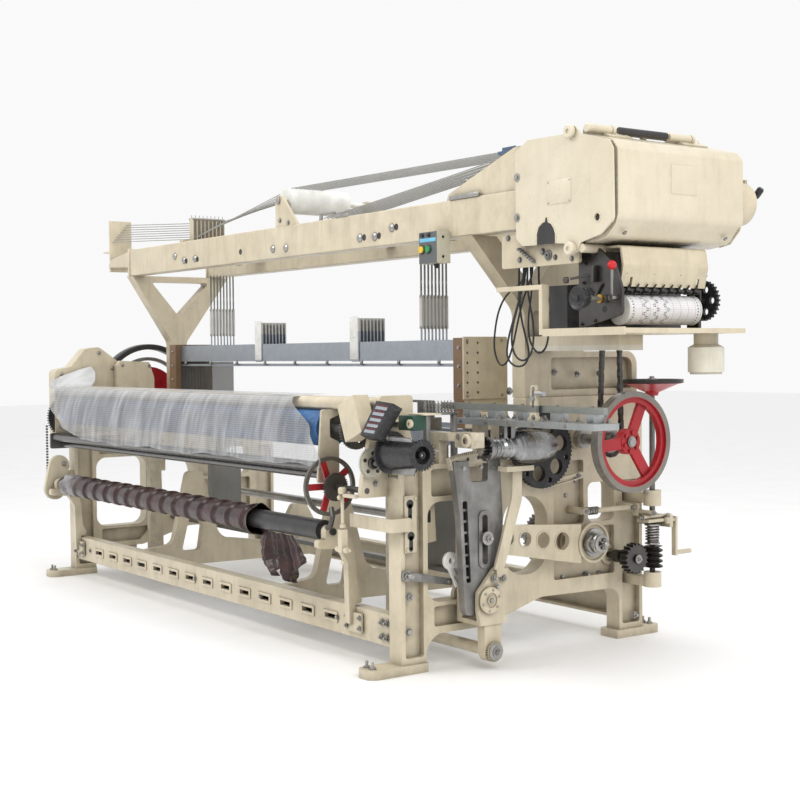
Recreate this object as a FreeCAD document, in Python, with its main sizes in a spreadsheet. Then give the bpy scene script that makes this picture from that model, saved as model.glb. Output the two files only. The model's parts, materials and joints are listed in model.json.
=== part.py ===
"""Power loom: a rapier weaving machine with a dobby on its right-hand side.

Lengths are millimetres. Every sub-part is drawn in the loom's own lengths: x is measured from the outer
face of the right side frame (negative towards the left), y from the front face of the front posts towards
the back, z from the floor. Each sub-part's Placement then moves it by the same two sheet values, so that the
origin lies under the middle of the whole machine.
"""
import FreeCAD
import Part
import math
import os
import Sketcher

Vector = FreeCAD.Vector
doc = FreeCAD.newDocument("PowerLoom")
sheet = doc.addObject("Spreadsheet::Sheet", "Sizes")


class Size:
    """A length that keeps its value in mm together with the sheet expression that it comes from."""

    def __init__(self, value, text):
        self.value = float(value)
        self.text = text

    def __add__(self, other):
        return Size(self.value + num(other), f"({self.text} + {words(other)})")

    def __radd__(self, other):
        return Size(num(other) + self.value, f"({words(other)} + {self.text})")

    def __sub__(self, other):
        return Size(self.value - num(other), f"({self.text} - {words(other)})")

    def __rsub__(self, other):
        return Size(num(other) - self.value, f"({words(other)} - {self.text})")

    def __mul__(self, other):
        return Size(self.value * num(other), f"({self.text} * {words(other)})")

    __rmul__ = __mul__

    def __truediv__(self, other):
        return Size(self.value / num(other), f"({self.text} / {words(other)})")

    def __neg__(self):
        return Size(-self.value, f"(0 - {self.text})")


def num(length):
    """The plain number of a length."""
    return length.value if isinstance(length, Size) else float(length)


def words(length):
    """The expression of a length."""
    return length.text if isinstance(length, Size) else f"({float(length):.9g})"


# Driving dimensions: alias -> mm (angles in degrees, counts as numbers)
SIZES = {
    # place of the machine's origin under its middle
    "right_face_x": 1365,
    "front_face_y": -616,
    # side frames
    "loom_width": 3270,        # outer face to outer face of the side frames
    "frame_depth": 1310,       # front post's front face to rear post's back face
    "frame_thick": 80,         # width of the cast rims
    "web_thick": 24,
    "frame_top": 812,
    "riser_top": 1060,         # top of the right frame's raised rear half
    "left_riser_top": 860,
    "foot_height": 36,
    "foot_reach": 156,         # how far the front feet stand out in front
    "post_depth": 122,
    # front and rear rails
    "rail_low": 93,
    "rail_high": 221,
    "rail_thick": 62,
    "slot_count": 14,
    # arch
    "beam_low": 1718,
    "beam_high": 1870,
    "beam_thick": 80,
    "beam_front_y": 370,
    "beam_rear_y": 880,
    # rollers at the front
    "take_up_y": -40,
    "take_up_z": 945,
    "take_up_r": 75,
    "breast_top": 1074,
    "cloth_y": -100,
    "cloth_z": 535,
    "cloth_r": 42,
    "wrap_r": 60,
    "wrap_ribs": 16,
    "spool_y": -48,
    "spool_z": 868,
    "spool_stub_r": 14,
    # heald frames
    "heald_first_y": 556,
    "heald_pitch": 20,
    "heald_thick": 10,
    "heald_right": -300,
    "heald_top": 1305,
    "heald_bar": 90,
    "heald_bottom": 850,
    "heald_stroke": 45,
    "cassette_top": 640,
    "hanger_right": -610,
    # main shaft, cam shaft and rapier drive
    "shaft_y": 915,
    "shaft_z": 882,
    "shaft_r": 22,
    "handwheel_r": 205,
    "handwheel_x": 350,
    "chain_top_y": 923,
    "chain_top_z": 1500,
    "cam_y": 909,
    "cam_z": 446,
    "cam_throw": 29,
    "rod_low_x": 60,
    "rod_thick": 24,
    "lever_low_x": 90,
    "lever_thick": 34,
    "pivot_y": 313,
    "pivot_z": 281,
    "bolt_z": 522,
    "sector_r": 583,
    "pulley_y": 682,
    "pulley_z": 845,
    "pulley_r": 157,
    "rocker_y": 340,
    "rocker_z": 74,
    "rocker_r": 24,
    # let-off
    "worm_x": 132,
    "worm_z": 367,
    "worm_r": 46,
    "worm_gap": 0.8,
    "worm_wheel_r": 66,
    "worm_wheel_teeth": 20,
    # dobby
    "dobby_left": 300,
    "dobby_front_y": 360,
    "dobby_back_y": 1030,
    "dobby_low": 1650,
    "dobby_high": 2040,
    "cover_right": 812,
    "cover_wall": 5,
    "panel_thick": 8,
    "hinge_x": 610,
    "hinge_z": 2056,
    "card_x": 690,
    "card_z": 1400,
    "card_r": 55,
    "card_front_y": 500,
    "card_back_y": 870,
    "wheel_z": 1438,
    "platform_z": 1312,
    "platform_thick": 18,
    # cords over the arch
    "cord_z": 1998,
    "cord_roller_r": 62,
    # running clearances
    "shaft_clear": 0.08,
    "seat_gap": 0.3,
}

for row, (alias, value) in enumerate(SIZES.items(), start=1):
    sheet.set(f"A{row}", alias)
    sheet.set(f"B{row}", str(value))
    sheet.setAlias(f"B{row}", alias)
doc.recompute()


def size(alias):
    """The sheet's value of that alias."""
    return Size(SIZES[alias], f"Sizes.{alias}")


# The aliases as plain names
right_face_x = size("right_face_x")
front_face_y = size("front_face_y")
loom_width = size("loom_width")
left_face = loom_width * -1             # outer face of the left frame
frame_depth = size("frame_depth")
frame_thick = size("frame_thick")
web_thick = size("web_thick")
frame_top = size("frame_top")
riser_top = size("riser_top")
left_riser_top = size("left_riser_top")
foot_height = size("foot_height")
foot_reach = size("foot_reach")
post_depth = size("post_depth")
rail_low = size("rail_low")
rail_high = size("rail_high")
rail_thick = size("rail_thick")
beam_low = size("beam_low")
beam_high = size("beam_high")
beam_thick = size("beam_thick")
beam_front_y = size("beam_front_y")
beam_rear_y = size("beam_rear_y")
take_up_y = size("take_up_y")
take_up_z = size("take_up_z")
take_up_r = size("take_up_r")
breast_top = size("breast_top")
cloth_y = size("cloth_y")
cloth_z = size("cloth_z")
cloth_r = size("cloth_r")
wrap_r = size("wrap_r")
spool_y = size("spool_y")
spool_z = size("spool_z")
spool_stub_r = size("spool_stub_r")
heald_first_y = size("heald_first_y")
heald_pitch = size("heald_pitch")
heald_thick = size("heald_thick")
heald_left = left_face + 300
heald_right = size("heald_right")
heald_top = size("heald_top")
heald_bar = size("heald_bar")
heald_bottom = size("heald_bottom")
heald_stroke = size("heald_stroke")
cassette_top = size("cassette_top")
hanger_left = left_face + 695
hanger_right = size("hanger_right")
shaft_y = size("shaft_y")
shaft_z = size("shaft_z")
shaft_r = size("shaft_r")
handwheel_r = size("handwheel_r")
handwheel_x = size("handwheel_x")
chain_top_y = size("chain_top_y")
chain_top_z = size("chain_top_z")
cam_y = size("cam_y")
cam_z = size("cam_z")
cam_throw = size("cam_throw")
cam_r = shaft_r + cam_throw + 1         # the eccentric covers its shaft
rod_low_x = size("rod_low_x")
rod_thick = size("rod_thick")
lever_low_x = size("lever_low_x")
lever_thick = size("lever_thick")
pivot_y = size("pivot_y")
pivot_z = size("pivot_z")
bolt_z = size("bolt_z")
sector_r = size("sector_r")
pulley_y = size("pulley_y")
pulley_z = size("pulley_z")
pulley_r = size("pulley_r")
rocker_y = size("rocker_y")
rocker_z = size("rocker_z")
rocker_r = size("rocker_r")
worm_x = size("worm_x")
worm_y = frame_depth - 72
worm_z = size("worm_z")
worm_r = size("worm_r")
worm_gap = size("worm_gap")
worm_wheel_r = size("worm_wheel_r")
dobby_left = size("dobby_left")
dobby_front_y = size("dobby_front_y")
dobby_back_y = size("dobby_back_y")
dobby_low = size("dobby_low")
dobby_high = size("dobby_high")
cover_right = size("cover_right")
cover_wall = size("cover_wall")
panel_thick = size("panel_thick")
hinge_x = size("hinge_x")
hinge_z = size("hinge_z")
card_x = size("card_x")
card_z = size("card_z")
card_r = size("card_r")
card_front_y = size("card_front_y")
card_back_y = size("card_back_y")
wheel_z = size("wheel_z")
platform_z = size("platform_z")
platform_thick = size("platform_thick")
shaft_clear = size("shaft_clear")
seat_gap = size("seat_gap")
cord_x = left_face * 0.465              # the white cord roller on the arch
cord_z = size("cord_z")
cord_roller_r = size("cord_roller_r")
HEALD_COUNT = 8
CORD_R = 2.5
frame_inner = frame_thick * -1          # inner face of the right frame
left_inner = left_face + frame_thick    # inner face of the left frame

NODES = []


def bind(thing, prop, length):
    """Sets a property and, where the length comes from the sheet, ties it to its cells."""
    if isinstance(length, Size):
        thing.setExpression(prop, length.text)
    else:
        setattr(thing, prop, length)


def place(thing, x, y, z, rotation=None):
    """Puts an object at x, y, z, with each coordinate tied to the sheet."""
    thing.Placement = FreeCAD.Placement(Vector(num(x), num(y), num(z)), rotation or FreeCAD.Rotation())
    for axis, length in (("x", x), ("y", y), ("z", z)):
        if isinstance(length, Size):
            thing.setExpression(f"Placement.Base.{axis}", length.text)


def box(x0, x1, y0, y1, z0, z1):
    """A block between two corners."""
    block = doc.addObject("Part::Box", "Block")
    bind(block, "Length", x1 - x0)
    bind(block, "Width", y1 - y0)
    bind(block, "Height", z1 - z0)
    place(block, x0, y0, z0)
    return block


TURNS = {
    "x": FreeCAD.Rotation(Vector(0, 1, 0), 90),
    "y": FreeCAD.Rotation(Vector(1, 0, 0), -90),
    "z": FreeCAD.Rotation(),
}


def along(axis, start, other, third):
    """Coordinates of a point given along an axis and across it, in x, y, z order."""
    return {"x": (start, other, third), "y": (other, start, third), "z": (other, third, start)}[axis]


def rod(axis, start, end, other, third, radius, flats=0):
    """A bar along an axis from start to end, round or with a number of flats; other and third place it."""
    if flats:
        bar = doc.addObject("Part::Prism", "Bar")
        bar.Polygon = flats
        bind(bar, "Circumradius", radius)
    else:
        bar = doc.addObject("Part::Cylinder", "Rod")
        bind(bar, "Radius", radius)
    bind(bar, "Height", end - start)
    place(bar, *along(axis, start, other, third), TURNS[axis])
    return bar


def taper(axis, start, end, other, third, radius_start, radius_end):
    """A round taper along an axis."""
    cone = doc.addObject("Part::Cone", "Taper")
    bind(cone, "Radius1", radius_start)
    bind(cone, "Radius2", radius_end)
    bind(cone, "Height", end - start)
    place(cone, *along(axis, start, other, third), TURNS[axis])
    return cone


def cut(base, *tools):
    """The base with the tools taken away."""
    for tool in tools:
        result = doc.addObject("Part::Cut", "Cut")
        result.Base = base
        result.Tool = tool
        base = result
    return base


def fuse(*pieces):
    """The pieces as one solid."""
    result = doc.addObject("Part::MultiFuse", "Fuse")
    result.Shapes = list(pieces)
    return result


def ring(axis, start, end, other, third, radius, bore):
    """A round bar with a bore right through it."""
    return cut(rod(axis, start, end, other, third, radius),
               rod(axis, start - 1, end + 1, other, third, bore))


def corner_arc(before, corner, after, radius):
    """Where a corner's arc of that radius starts and ends, and its middle point."""
    to_before = (before - corner).normalize()
    to_after = (after - corner).normalize()
    half = to_before.getAngle(to_after) / 2
    reach = radius / math.tan(half)
    centre = corner + (to_before + to_after).normalize() * (radius / math.sin(half))
    middle = centre + (corner - centre).normalize() * radius
    return corner + to_before * reach, middle, corner + to_after * reach


def draw(sketch, corners):
    """Draws a closed outline. A corner is (first, second) or (first, second, radius of its arc).

    The rounded corners are construction points whose two distances are tied to the sheet, and the straight
    edges run through those points, so that the outline follows every size."""
    plain = [Vector(num(c[0]), num(c[1]), 0) for c in corners]
    radii = [num(c[2]) if len(c) > 2 else 0 for c in corners]
    count = len(corners)
    ends = []
    for i in range(count):
        if radii[i] > 0:
            ends.append(corner_arc(plain[i - 1], plain[i], plain[(i + 1) % count], radii[i]))
        else:
            ends.append((plain[i], plain[i], plain[i]))
    edges = [Part.LineSegment(ends[i][2], ends[(i + 1) % count][0]) for i in range(count)]
    points = []
    rules = []
    ties = []
    first_edge = sketch.GeometryCount
    rounded = [i for i in range(count) if radii[i] > 0]
    first_arc = first_edge + count
    first_point = first_arc + len(rounded)
    for order, i in enumerate(rounded):
        start, middle, end = ends[i]
        curve = Part.Circle(start, middle, end)
        clockwise = (middle - start).cross(end - start).z < 0
        centre = curve.Center
        turns = [math.atan2(point.y - centre.y, point.x - centre.x) for point in (start, end)]
        if clockwise:
            turns.reverse()
        curve = Part.Circle(centre, Vector(0, 0, 1), radii[i])
        edges.append(Part.ArcOfCircle(curve, turns[0], turns[1] + (2 * math.pi if turns[1] < turns[0] else 0)))
        points.append(Part.Point(plain[i]))
        arc, point = first_arc + order, first_point + order
        before, after = first_edge + (i - 1) % count, first_edge + i
        rules += [
            (Sketcher.Constraint("Tangent", before, 2, arc, 2 if clockwise else 1), None),
            (Sketcher.Constraint("Tangent", arc, 1 if clockwise else 2, after, 1), None),
            (Sketcher.Constraint("Radius", arc, radii[i]), corners[i][2]),
            (Sketcher.Constraint("PointOnObject", point, 1, before), None),
            (Sketcher.Constraint("PointOnObject", point, 1, after), None),
        ]
        ties.append((i, point))
    for i in range(count):
        if radii[i] == 0:
            before, after = first_edge + (i - 1) % count, first_edge + i
            rules.append((Sketcher.Constraint("Coincident", before, 2, after, 1), None))
            ties.append((i, after))
    for i, target in ties:
        rules.append((Sketcher.Constraint("DistanceX", -1, 1, target, 1, plain[i].x), corners[i][0]))
        rules.append((Sketcher.Constraint("DistanceY", -1, 1, target, 1, plain[i].y), corners[i][1]))
    sketch.addGeometry(edges, False)
    if points:
        sketch.addGeometry(points, True)
    add_rules(sketch, rules)


def add_rules(sketch, rules):
    """Adds constraints in one go and ties those whose length comes from the sheet."""
    first = sketch.ConstraintCount
    sketch.addConstraint([rule for rule, length in rules])
    for index, (rule, length) in enumerate(rules):
        if isinstance(length, Size):
            sketch.setExpression(f"Constraints[{first + index}]", length.text)


def draw_circle(sketch, first, second, radius):
    """Draws a circle whose place and radius are tied to the sheet."""
    circle = sketch.addGeometry(Part.Circle(Vector(num(first), num(second), 0), Vector(0, 0, 1), num(radius)),
                                False)
    add_rules(sketch, [
        (Sketcher.Constraint("DistanceX", -1, 1, circle, 3, num(first)), first),
        (Sketcher.Constraint("DistanceY", -1, 1, circle, 3, num(second)), second),
        (Sketcher.Constraint("Radius", circle, num(radius)), radius),
    ])


def draw_holes(sketch, holes):
    """Draws circles, given as ("o", first, second, radius), and outlines, given as lists of corners."""
    for hole in holes:
        if hole[0] == "o":
            draw_circle(sketch, *hole[1:])
        else:
            draw(sketch, hole)


# A sketch's own axes as seen along each axis of the machine, and the direction of an extrusion
SKETCH_AXES = {
    "x": (Vector(0, 1, 0), Vector(0, 0, 1), Vector(1, 0, 0)),
    "y": (Vector(1, 0, 0), Vector(0, 0, 1), Vector(0, -1, 0)),
    "z": (Vector(1, 0, 0), Vector(0, 1, 0), Vector(0, 0, 1)),
}
DIRECTIONS = {"x": Vector(1, 0, 0), "y": Vector(0, 1, 0), "z": Vector(0, 0, 1)}
PLANES = {"x": "YZ_Plane", "y": "XZ_Plane", "z": "XY_Plane"}


def prism(axis, corners, start, end, holes=()):
    """An outline drawn across an axis and extruded along it from start to end."""
    sketch = doc.addObject("Sketcher::SketchObject", "Outline")
    if corners[0] == "o":
        draw_circle(sketch, *corners[1:])
    else:
        draw(sketch, corners)
    draw_holes(sketch, holes)
    zero = {"x": (start, 0, 0), "y": (0, start, 0), "z": (0, 0, start)}[axis]
    place(sketch, *zero, FreeCAD.Rotation(*SKETCH_AXES[axis]))
    solid = doc.addObject("Part::Extrusion", "Prism")
    solid.Base = sketch
    solid.DirMode = "Custom"
    solid.Dir = DIRECTIONS[axis]
    solid.Solid = True
    bind(solid, "LengthFwd", end - start)
    return solid


def body_sketch(body, axis, level):
    """A sketch of a body, across an axis at that level."""
    sketch = body.newObject("Sketcher::SketchObject", "Sketch")
    plane = [f for f in body.Origin.OriginFeatures if f.Role == PLANES[axis]][0]
    sketch.AttachmentSupport = (plane, [""])
    sketch.MapMode = "FlatFace"
    offset = -level if axis == "y" else level
    sketch.AttachmentOffset = FreeCAD.Placement(Vector(0, 0, num(offset)), FreeCAD.Rotation())
    if isinstance(offset, Size):
        sketch.setExpression("AttachmentOffset.Base.z", offset.text)
    return sketch


def pad(body, axis, corners, start, end, holes=()):
    """Adds an outline, from start to end along an axis, to a body."""
    sketch = body_sketch(body, axis, end if axis == "y" else start)
    if corners[0] == "o":
        draw_circle(sketch, *corners[1:])
    else:
        draw(sketch, corners)
    draw_holes(sketch, holes)
    feature = body.newObject("PartDesign::Pad", "Pad")
    feature.Profile = sketch
    bind(feature, "Length", end - start)
    return feature


def pocket(body, axis, outlines, start, end):
    """Cuts outlines, from start to end along an axis, out of a body."""
    sketch = body_sketch(body, axis, start if axis == "y" else end)
    draw_holes(sketch, outlines)
    feature = body.newObject("PartDesign::Pocket", "Pocket")
    feature.Profile = sketch
    bind(feature, "Length", end - start)
    return feature


def new_body(name):
    return doc.addObject("PartDesign::Body", name)


def feature(shape):
    """A shape worked out with the modelling kernel's own functions, as a document object."""
    thing = doc.addObject("Part::Feature", "Form")
    thing.Shape = shape
    return thing


def node(name, *pieces):
    """Makes a named sub-part of one piece or of several separate ones, at the machine's origin."""
    if len(pieces) == 1 and pieces[0].TypeId in ("PartDesign::Body", "Part::Cut", "Part::MultiFuse"):
        part = pieces[0]
    else:
        part = doc.addObject("Part::Compound", name)
        part.Links = list(pieces)
    part.Label = name
    place(part, right_face_x, front_face_y, 0)
    NODES.append(part)
    return part


def mirrored(x):
    """The place on the left frame that mirrors x on the right frame."""
    return -loom_width - x


def span(side, x0, x1):
    """A range of x on the right frame, or its mirror image on the left one."""
    return (x0, x1) if side == "right" else (mirrored(x1), mirrored(x0))


def deep(y):
    """A place along the side frame that keeps its share of the frame's depth."""
    return frame_depth * (y / 1310)


def many_sided(axis, low, high, centre, radius, sides):
    """The shape of a bar with many flats, for rows of holes."""
    turns = [2 * math.pi * side / sides for side in range(sides)]
    corners = [Vector(radius * math.cos(turn), radius * math.sin(turn), 0) for turn in turns]
    solid = Part.Face(Part.makePolygon(corners + [corners[0]])).extrude(Vector(0, 0, high - low))
    solid.Placement = FreeCAD.Placement(Vector(*along(axis, low, *centre)), TURNS[axis])
    return solid


def flat_face(*corners):
    """A flat face between corners."""
    return Part.Face(Part.makePolygon([*corners, corners[0]]))


def faceted(sections, planar=False):
    """A solid with flat faces between closed outlines that have the same number of corners."""
    faces = [flat_face(*sections[0]), flat_face(*sections[-1])]
    count = len(sections[0])
    for first, second in zip(sections, sections[1:]):
        for i in range(count):
            a, b, c, d = first[i], first[(i + 1) % count], second[(i + 1) % count], second[i]
            faces += [flat_face(a, b, c, d)] if planar else [flat_face(a, b, c), flat_face(a, c, d)]
    shell = Part.makeShell(faces)
    shell.sewShape()
    solid = Part.makeSolid(shell)
    if solid.Volume < 0:
        solid.reverse()
    return solid


def toothed(teeth, root, tip, low, high, axis, centre, bore=0):
    """A toothed wheel: trapezoid teeth on a disc, from low to high along an axis."""
    points = []
    for tooth in range(teeth):
        middle = 2 * math.pi * tooth / teeth
        pitch = 2 * math.pi / teeth
        for share, radius in ((-0.30, root), (-0.14, tip), (0.14, tip), (0.30, root)):
            turn = middle + share * pitch
            points.append(Vector(radius * math.cos(turn), radius * math.sin(turn), 0))
    wire = Part.makePolygon(points + [points[0]])
    face = Part.Face(wire)
    if bore:
        face = face.cut(Part.Face(Part.Wire(Part.makeCircle(bore))))
    solid = face.extrude(Vector(0, 0, high - low))
    solid.Placement = FreeCAD.Placement(Vector(*along(axis, low, *centre)), TURNS[axis])
    return solid


# ---------------------------------------------------------------- side frames

def side_frame(side, rear_top):
    """A cast side frame: rims all round, a thin web, two windows, two arches and two feet."""
    low, high = span(side, frame_inner, 0)
    rear_post = frame_depth - 140
    frame = new_body(f"{side}_side_frame")
    outline = [(0, foot_height - 6), (0, frame_top, 8), (640, frame_top, 8), (640, rear_top, 8),
               (frame_depth, rear_top, 40), (frame_depth, foot_height - 6), (rear_post, foot_height - 6),
               (rear_post, 222, 60), (deep(716), 229, 150), (deep(420), 142, 100), (post_depth, 142, 80),
               (post_depth, foot_height - 6)]
    window = [(130, 266, 60), (deep(440), 266, 60), (deep(440), 663, 60), (130, 663, 60)]
    oval = [(deep(512), 331, deep(110)), (deep(755), 331, deep(110)), (deep(755), 655, deep(110)),
            (deep(512), 655, deep(110))]
    rear_window = [(deep(985), 520, 30), (deep(1140), 520, 30), (deep(1140), 690, 30), (deep(985), 690, 30)]
    pad(frame, "x", outline, low, high, [window, oval, rear_window])
    depth = (frame_thick - web_thick) / 2
    for corner, start, end in ((12, high - depth, high), (0, low, low + depth)):
        pocket(frame, "x", [
            [(20, 60, corner), (108, 60, corner), (108, 792, corner), (20, 792, corner)],
            [(150, 684, corner), (deep(480), 684, corner), (deep(480), 792, corner), (150, 792, corner)],
            [(160, 170, corner), (deep(400), 170, corner), (deep(480), 250, corner), (160, 250, corner)],
            [(deep(790), 290, corner), (deep(1140), 290, corner), (deep(1140), 500, corner),
             (deep(790), 500, corner)],
            [(deep(790), 520, corner), (deep(960), 520, corner), (deep(960), 790, corner),
             (deep(790), 790, corner)],
            [(rear_post + 18, 60, corner), (frame_depth - 18, 60, corner), (frame_depth - 18, 690, corner),
             (rear_post + 18, 690, corner)],
        ], start, end)
    if side == "right":
        for y, z, boss in ((shaft_y, shaft_z, 46), (cam_y, cam_z, 50)):
            pad(frame, "x", ("o", y, z, boss), low, high + 28)
        bores = [("o", shaft_y, shaft_z, shaft_r + shaft_clear), ("o", cam_y, cam_z, shaft_r + shaft_clear),
                 ("o", pulley_y, pulley_z, 15 + shaft_clear),
                 ("o", worm_y - worm_r - worm_gap - worm_wheel_r, worm_z, 14 + shaft_clear)]
    else:
        bores = [("o", cam_y, cam_z, shaft_r + shaft_clear)]
    pocket(frame, "x", bores, low - 1, high + 40)
    front_foot = [(low - 14, -foot_reach, 40), (high + 14, -foot_reach, 40), (high + 14, post_depth, 6),
                  (low - 14, post_depth, 6)]
    rear_foot = [(low - 14, rear_post - 26, 6), (high + 14, rear_post - 26, 6),
                 (high + 14, frame_depth + 100, 30), (low - 14, frame_depth + 100, 30)]
    centre = (low + high) / 2
    pad(frame, "z", front_foot, 0, foot_height, [("o", centre, -foot_reach + 50, 11)])
    pad(frame, "z", rear_foot, 0, foot_height, [("o", centre, frame_depth + 60, 11)])
    return node(f"{side}_side_frame", frame)


side_frame("right", riser_top)
side_frame("left", left_riser_top)


# ---------------------------------------------------------------- rails between the frames

def front_rail():
    """The slotted front rail: a channel with a row of raised-rim slots for the cloth roller's brackets."""
    rail = new_body("front_rail")
    left, right = left_inner, frame_inner
    front = 10
    profile = [(front, rail_low, 4), (front + rail_thick, rail_low, 4), (front + rail_thick, rail_low + 12),
               (front + 14, rail_low + 12), (front + 14, rail_high - 12), (front + rail_thick, rail_high - 12),
               (front + rail_thick, rail_high, 4), (front, rail_high, 4)]
    pad(rail, "x", profile, left, right)
    middle = (rail_low + rail_high) / 2
    first = left + 250
    pitch = 182
    rims = []
    for slot in range(SIZES["slot_count"]):
        x = first + pitch * slot
        rims.append([(x, middle - 22), (x + 110, middle - 22), (x + 110, middle + 22), (x, middle + 22)])
    raised = body_sketch(rail, "y", front + 1)
    draw_holes(raised, rims)
    rim_pad = rail.newObject("PartDesign::Pad", "SlotRims")
    rim_pad.Profile = raised
    rim_pad.Length = 6
    slots = []
    for slot in range(SIZES["slot_count"]):
        x = first + pitch * slot
        slots.append([(x + 14, middle - 10), (x + 96, middle - 10), (x + 96, middle + 10),
                      (x + 14, middle + 10)])
    pocket(rail, "y", slots, front - 6, front + 20)
    return node("front_rail", rail)


def rear_rail():
    """The rear tie rail with the two cast stands that carry the middle of the machine."""
    left, right = left_inner, frame_inner
    front, back = frame_depth - 120, frame_depth - 60
    rail = prism("x", [(front, 80, 4), (back, 80, 4), (back, 220, 4), (front, 220, 4), (front, 208),
                       (back - 12, 208), (back - 12, 92), (front, 92)], left, right)
    stands = []
    for share in (0.758, 0.318):
        x = left_face * share
        stands.append(prism("x", [(72, 215, 12), (deep(240), 235, 50), (deep(330), 620, 30), (deep(420), 620, 20),
                                  (deep(520), 250, 90), (deep(880), 200, 90), (deep(1000), 400, 30),
                                  (deep(1080), 400, 20), (front, 208), (front, 104, 12), (72, 118, 12)],
                            x, x + 42,
                            [[(deep(290), 190, 20), (deep(400), 190, 20), (deep(420), 320, 30),
                              (deep(360), 460, 20)],
                             ("o", deep(980), 230, 52)]))
    return node("rear_rail", rail, *stands)


front_rail()
rear_rail()


# ---------------------------------------------------------------- arch

def arch_beam(name, front):
    """A box-section beam across the top with round end caps."""
    beam = new_body(name)
    left, right = -loom_width + 45, dobby_left
    pad(beam, "x", [(front, beam_low, 6), (front + beam_thick, beam_low, 6), (front + beam_thick, beam_high, 6),
                    (front, beam_high, 6)], left, right)
    wall = 8
    pocket(beam, "x", [[(front + wall, beam_low + wall), (front + beam_thick - wall, beam_low + wall),
                        (front + beam_thick - wall, beam_high - wall), (front + wall, beam_high - wall)]],
           left, right - wall)
    return node(name, beam)


arch_beam("arch_beam_front", beam_front_y)
arch_beam("arch_beam_rear", beam_rear_y)


def beam_stand(side, foot_z):
    """The V-shaped casting that carries both arch beams on a side frame."""
    low, high = span(side, frame_inner - 10, -10)
    stand = new_body(f"{side}_beam_stand")
    rear = beam_rear_y + beam_thick
    if side == "right":
        outline = [(beam_front_y, beam_low), (beam_front_y + 130, beam_low, 6), (700, 1500, 50),
                   (beam_rear_y - 20, beam_low, 6), (rear + 40, beam_low), (960, 1430, 60), (960, 1250, 20),
                   (frame_depth - 20, 1250, 60), (frame_depth - 20, foot_z), (645, foot_z), (645, 1420, 80)]
        holes = []
    else:
        outline = [(beam_front_y, beam_low), (rear + 40, beam_low), (715, 1330, 60), (715, foot_z + 14),
                   (790, foot_z + 14, 6), (790, foot_z), (570, foot_z), (570, foot_z + 14, 6), (620, foot_z + 14),
                   (620, 1330, 80)]
        holes = [[(beam_front_y + 120, beam_low - 34, 10), (beam_rear_y - 10, beam_low - 34, 10),
                  (667, 1480, 30)]]
    pad(stand, "x", outline, low, high, holes)
    depth = 30
    if side == "right":
        sides = [[(690, 1280, 20), (930, 1280, 20), (930, 1420, 40), (690, 1420, 20)],
                 [(790, 1090, 14), (frame_depth - 50, 1090, 14), (frame_depth - 50, 1225, 40), (790, 1225, 14)]]
    else:
        sides = [[(640, foot_z + 60, 12), (695, foot_z + 60, 12), (695, 1300, 12), (640, 1300, 12)]]
    pocket(stand, "x", sides, high - depth, high)
    return node(f"{side}_beam_stand", stand)


beam_stand("right", riser_top)
beam_stand("left", left_riser_top)


# ---------------------------------------------------------------- breast beam, sley and reed

def breast_beam():
    """The hollow cross beam that the cloth passes over, with its end brackets on the side frames."""
    beam = new_body("breast_beam_tube")
    beam_low_z = take_up_z + take_up_r + 4
    left, right = left_inner - 20, frame_inner + 20
    pad(beam, "x", [(-60, beam_low_z, 10), (50, beam_low_z, 10), (50, breast_top, 20), (-60, breast_top, 28)],
        left, right)
    inside = [(-50, beam_low_z + 8), (40, beam_low_z + 8), (40, breast_top - 12), (-50, breast_top - 12)]
    pocket(beam, "x", [inside], left, right)
    brackets = []
    for side in ("right", "left"):
        low, high = span(side, frame_inner + 20, frame_inner + 44)
        foot = prism("x", [(20, frame_top, 6), (110, frame_top, 6), (60, 1008), (-60, 1008)], low, high)
        cheek = prism("x", [(-70, 1006), (90, 1006), (90, breast_top + 10, 12), (-70, breast_top + 10, 20)],
                      low, high)
        brackets.append(fuse(foot, cheek))
    return node("breast_beam", beam, *brackets)


breast_beam()


def sley():
    """The sley: two swords on the cross shaft, race beam and reed, which swing together."""
    left, right = left_inner + 60, frame_inner - 150
    swords = []
    for x in (left + 250, right - 300):
        sword = prism("x", [(rocker_y - 42, rocker_z - 40, 34), (rocker_y + 42, rocker_z - 40, 34),
                            (rocker_y + 26, 930), (rocker_y - 36, 930)], x, x + 40,
                      [("o", rocker_y, rocker_z, rocker_r + shaft_clear)])
        swords.append(sword)
    race = prism("x", [(rocker_y - 60, 930, 6), (rocker_y + 40, 930, 6), (rocker_y + 40, 983, 6),
                       (rocker_y - 60, 975, 6)], left, right)
    reed_y = rocker_y + 6
    dents = [[(left + 40 + 120 * i, 996), (left + 40 + 120 * i + 96, 996), (left + 40 + 120 * i + 96, 1042),
              (left + 40 + 120 * i, 1042)] for i in range(23)]
    reed = prism("y", [(left + 20, 978), (right - 20, 978), (right - 20, 1052), (left + 20, 1052)],
                 reed_y, reed_y + 12, dents)
    return node("sley", fuse(*swords, race, reed))


sley()


# ---------------------------------------------------------------- take-up and cloth rollers

def take_up_roller():
    """The covered take-up roller with its journals and its driving gear."""
    left, right = left_inner + 60, -420
    roller = rod("x", left, right, take_up_y, take_up_z, take_up_r)
    shaft = fuse(rod("x", left_inner + 1, left, take_up_y, take_up_z, 20),
                 rod("x", right, frame_inner + 1, take_up_y, take_up_z, 20))
    disc = ring("x", right, right + 8, take_up_y, take_up_z, 60, 20)
    gear = toothed(40, 72, 78, -250, -232, "x", (num(take_up_y), num(take_up_z)), bore=20)
    holes = Part.makeCompound([many_sided("x", -270, -210, (num(take_up_y) + 46 * math.cos(turn),
                                                            num(take_up_z) + 46 * math.sin(turn)), 11, 12)
                               for turn in (0.3, 1.87, 3.44, 5.01)])
    return node("take_up_roller", roller, shaft, disc, feature(gear.cut(holes)))


take_up_roller()


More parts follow.
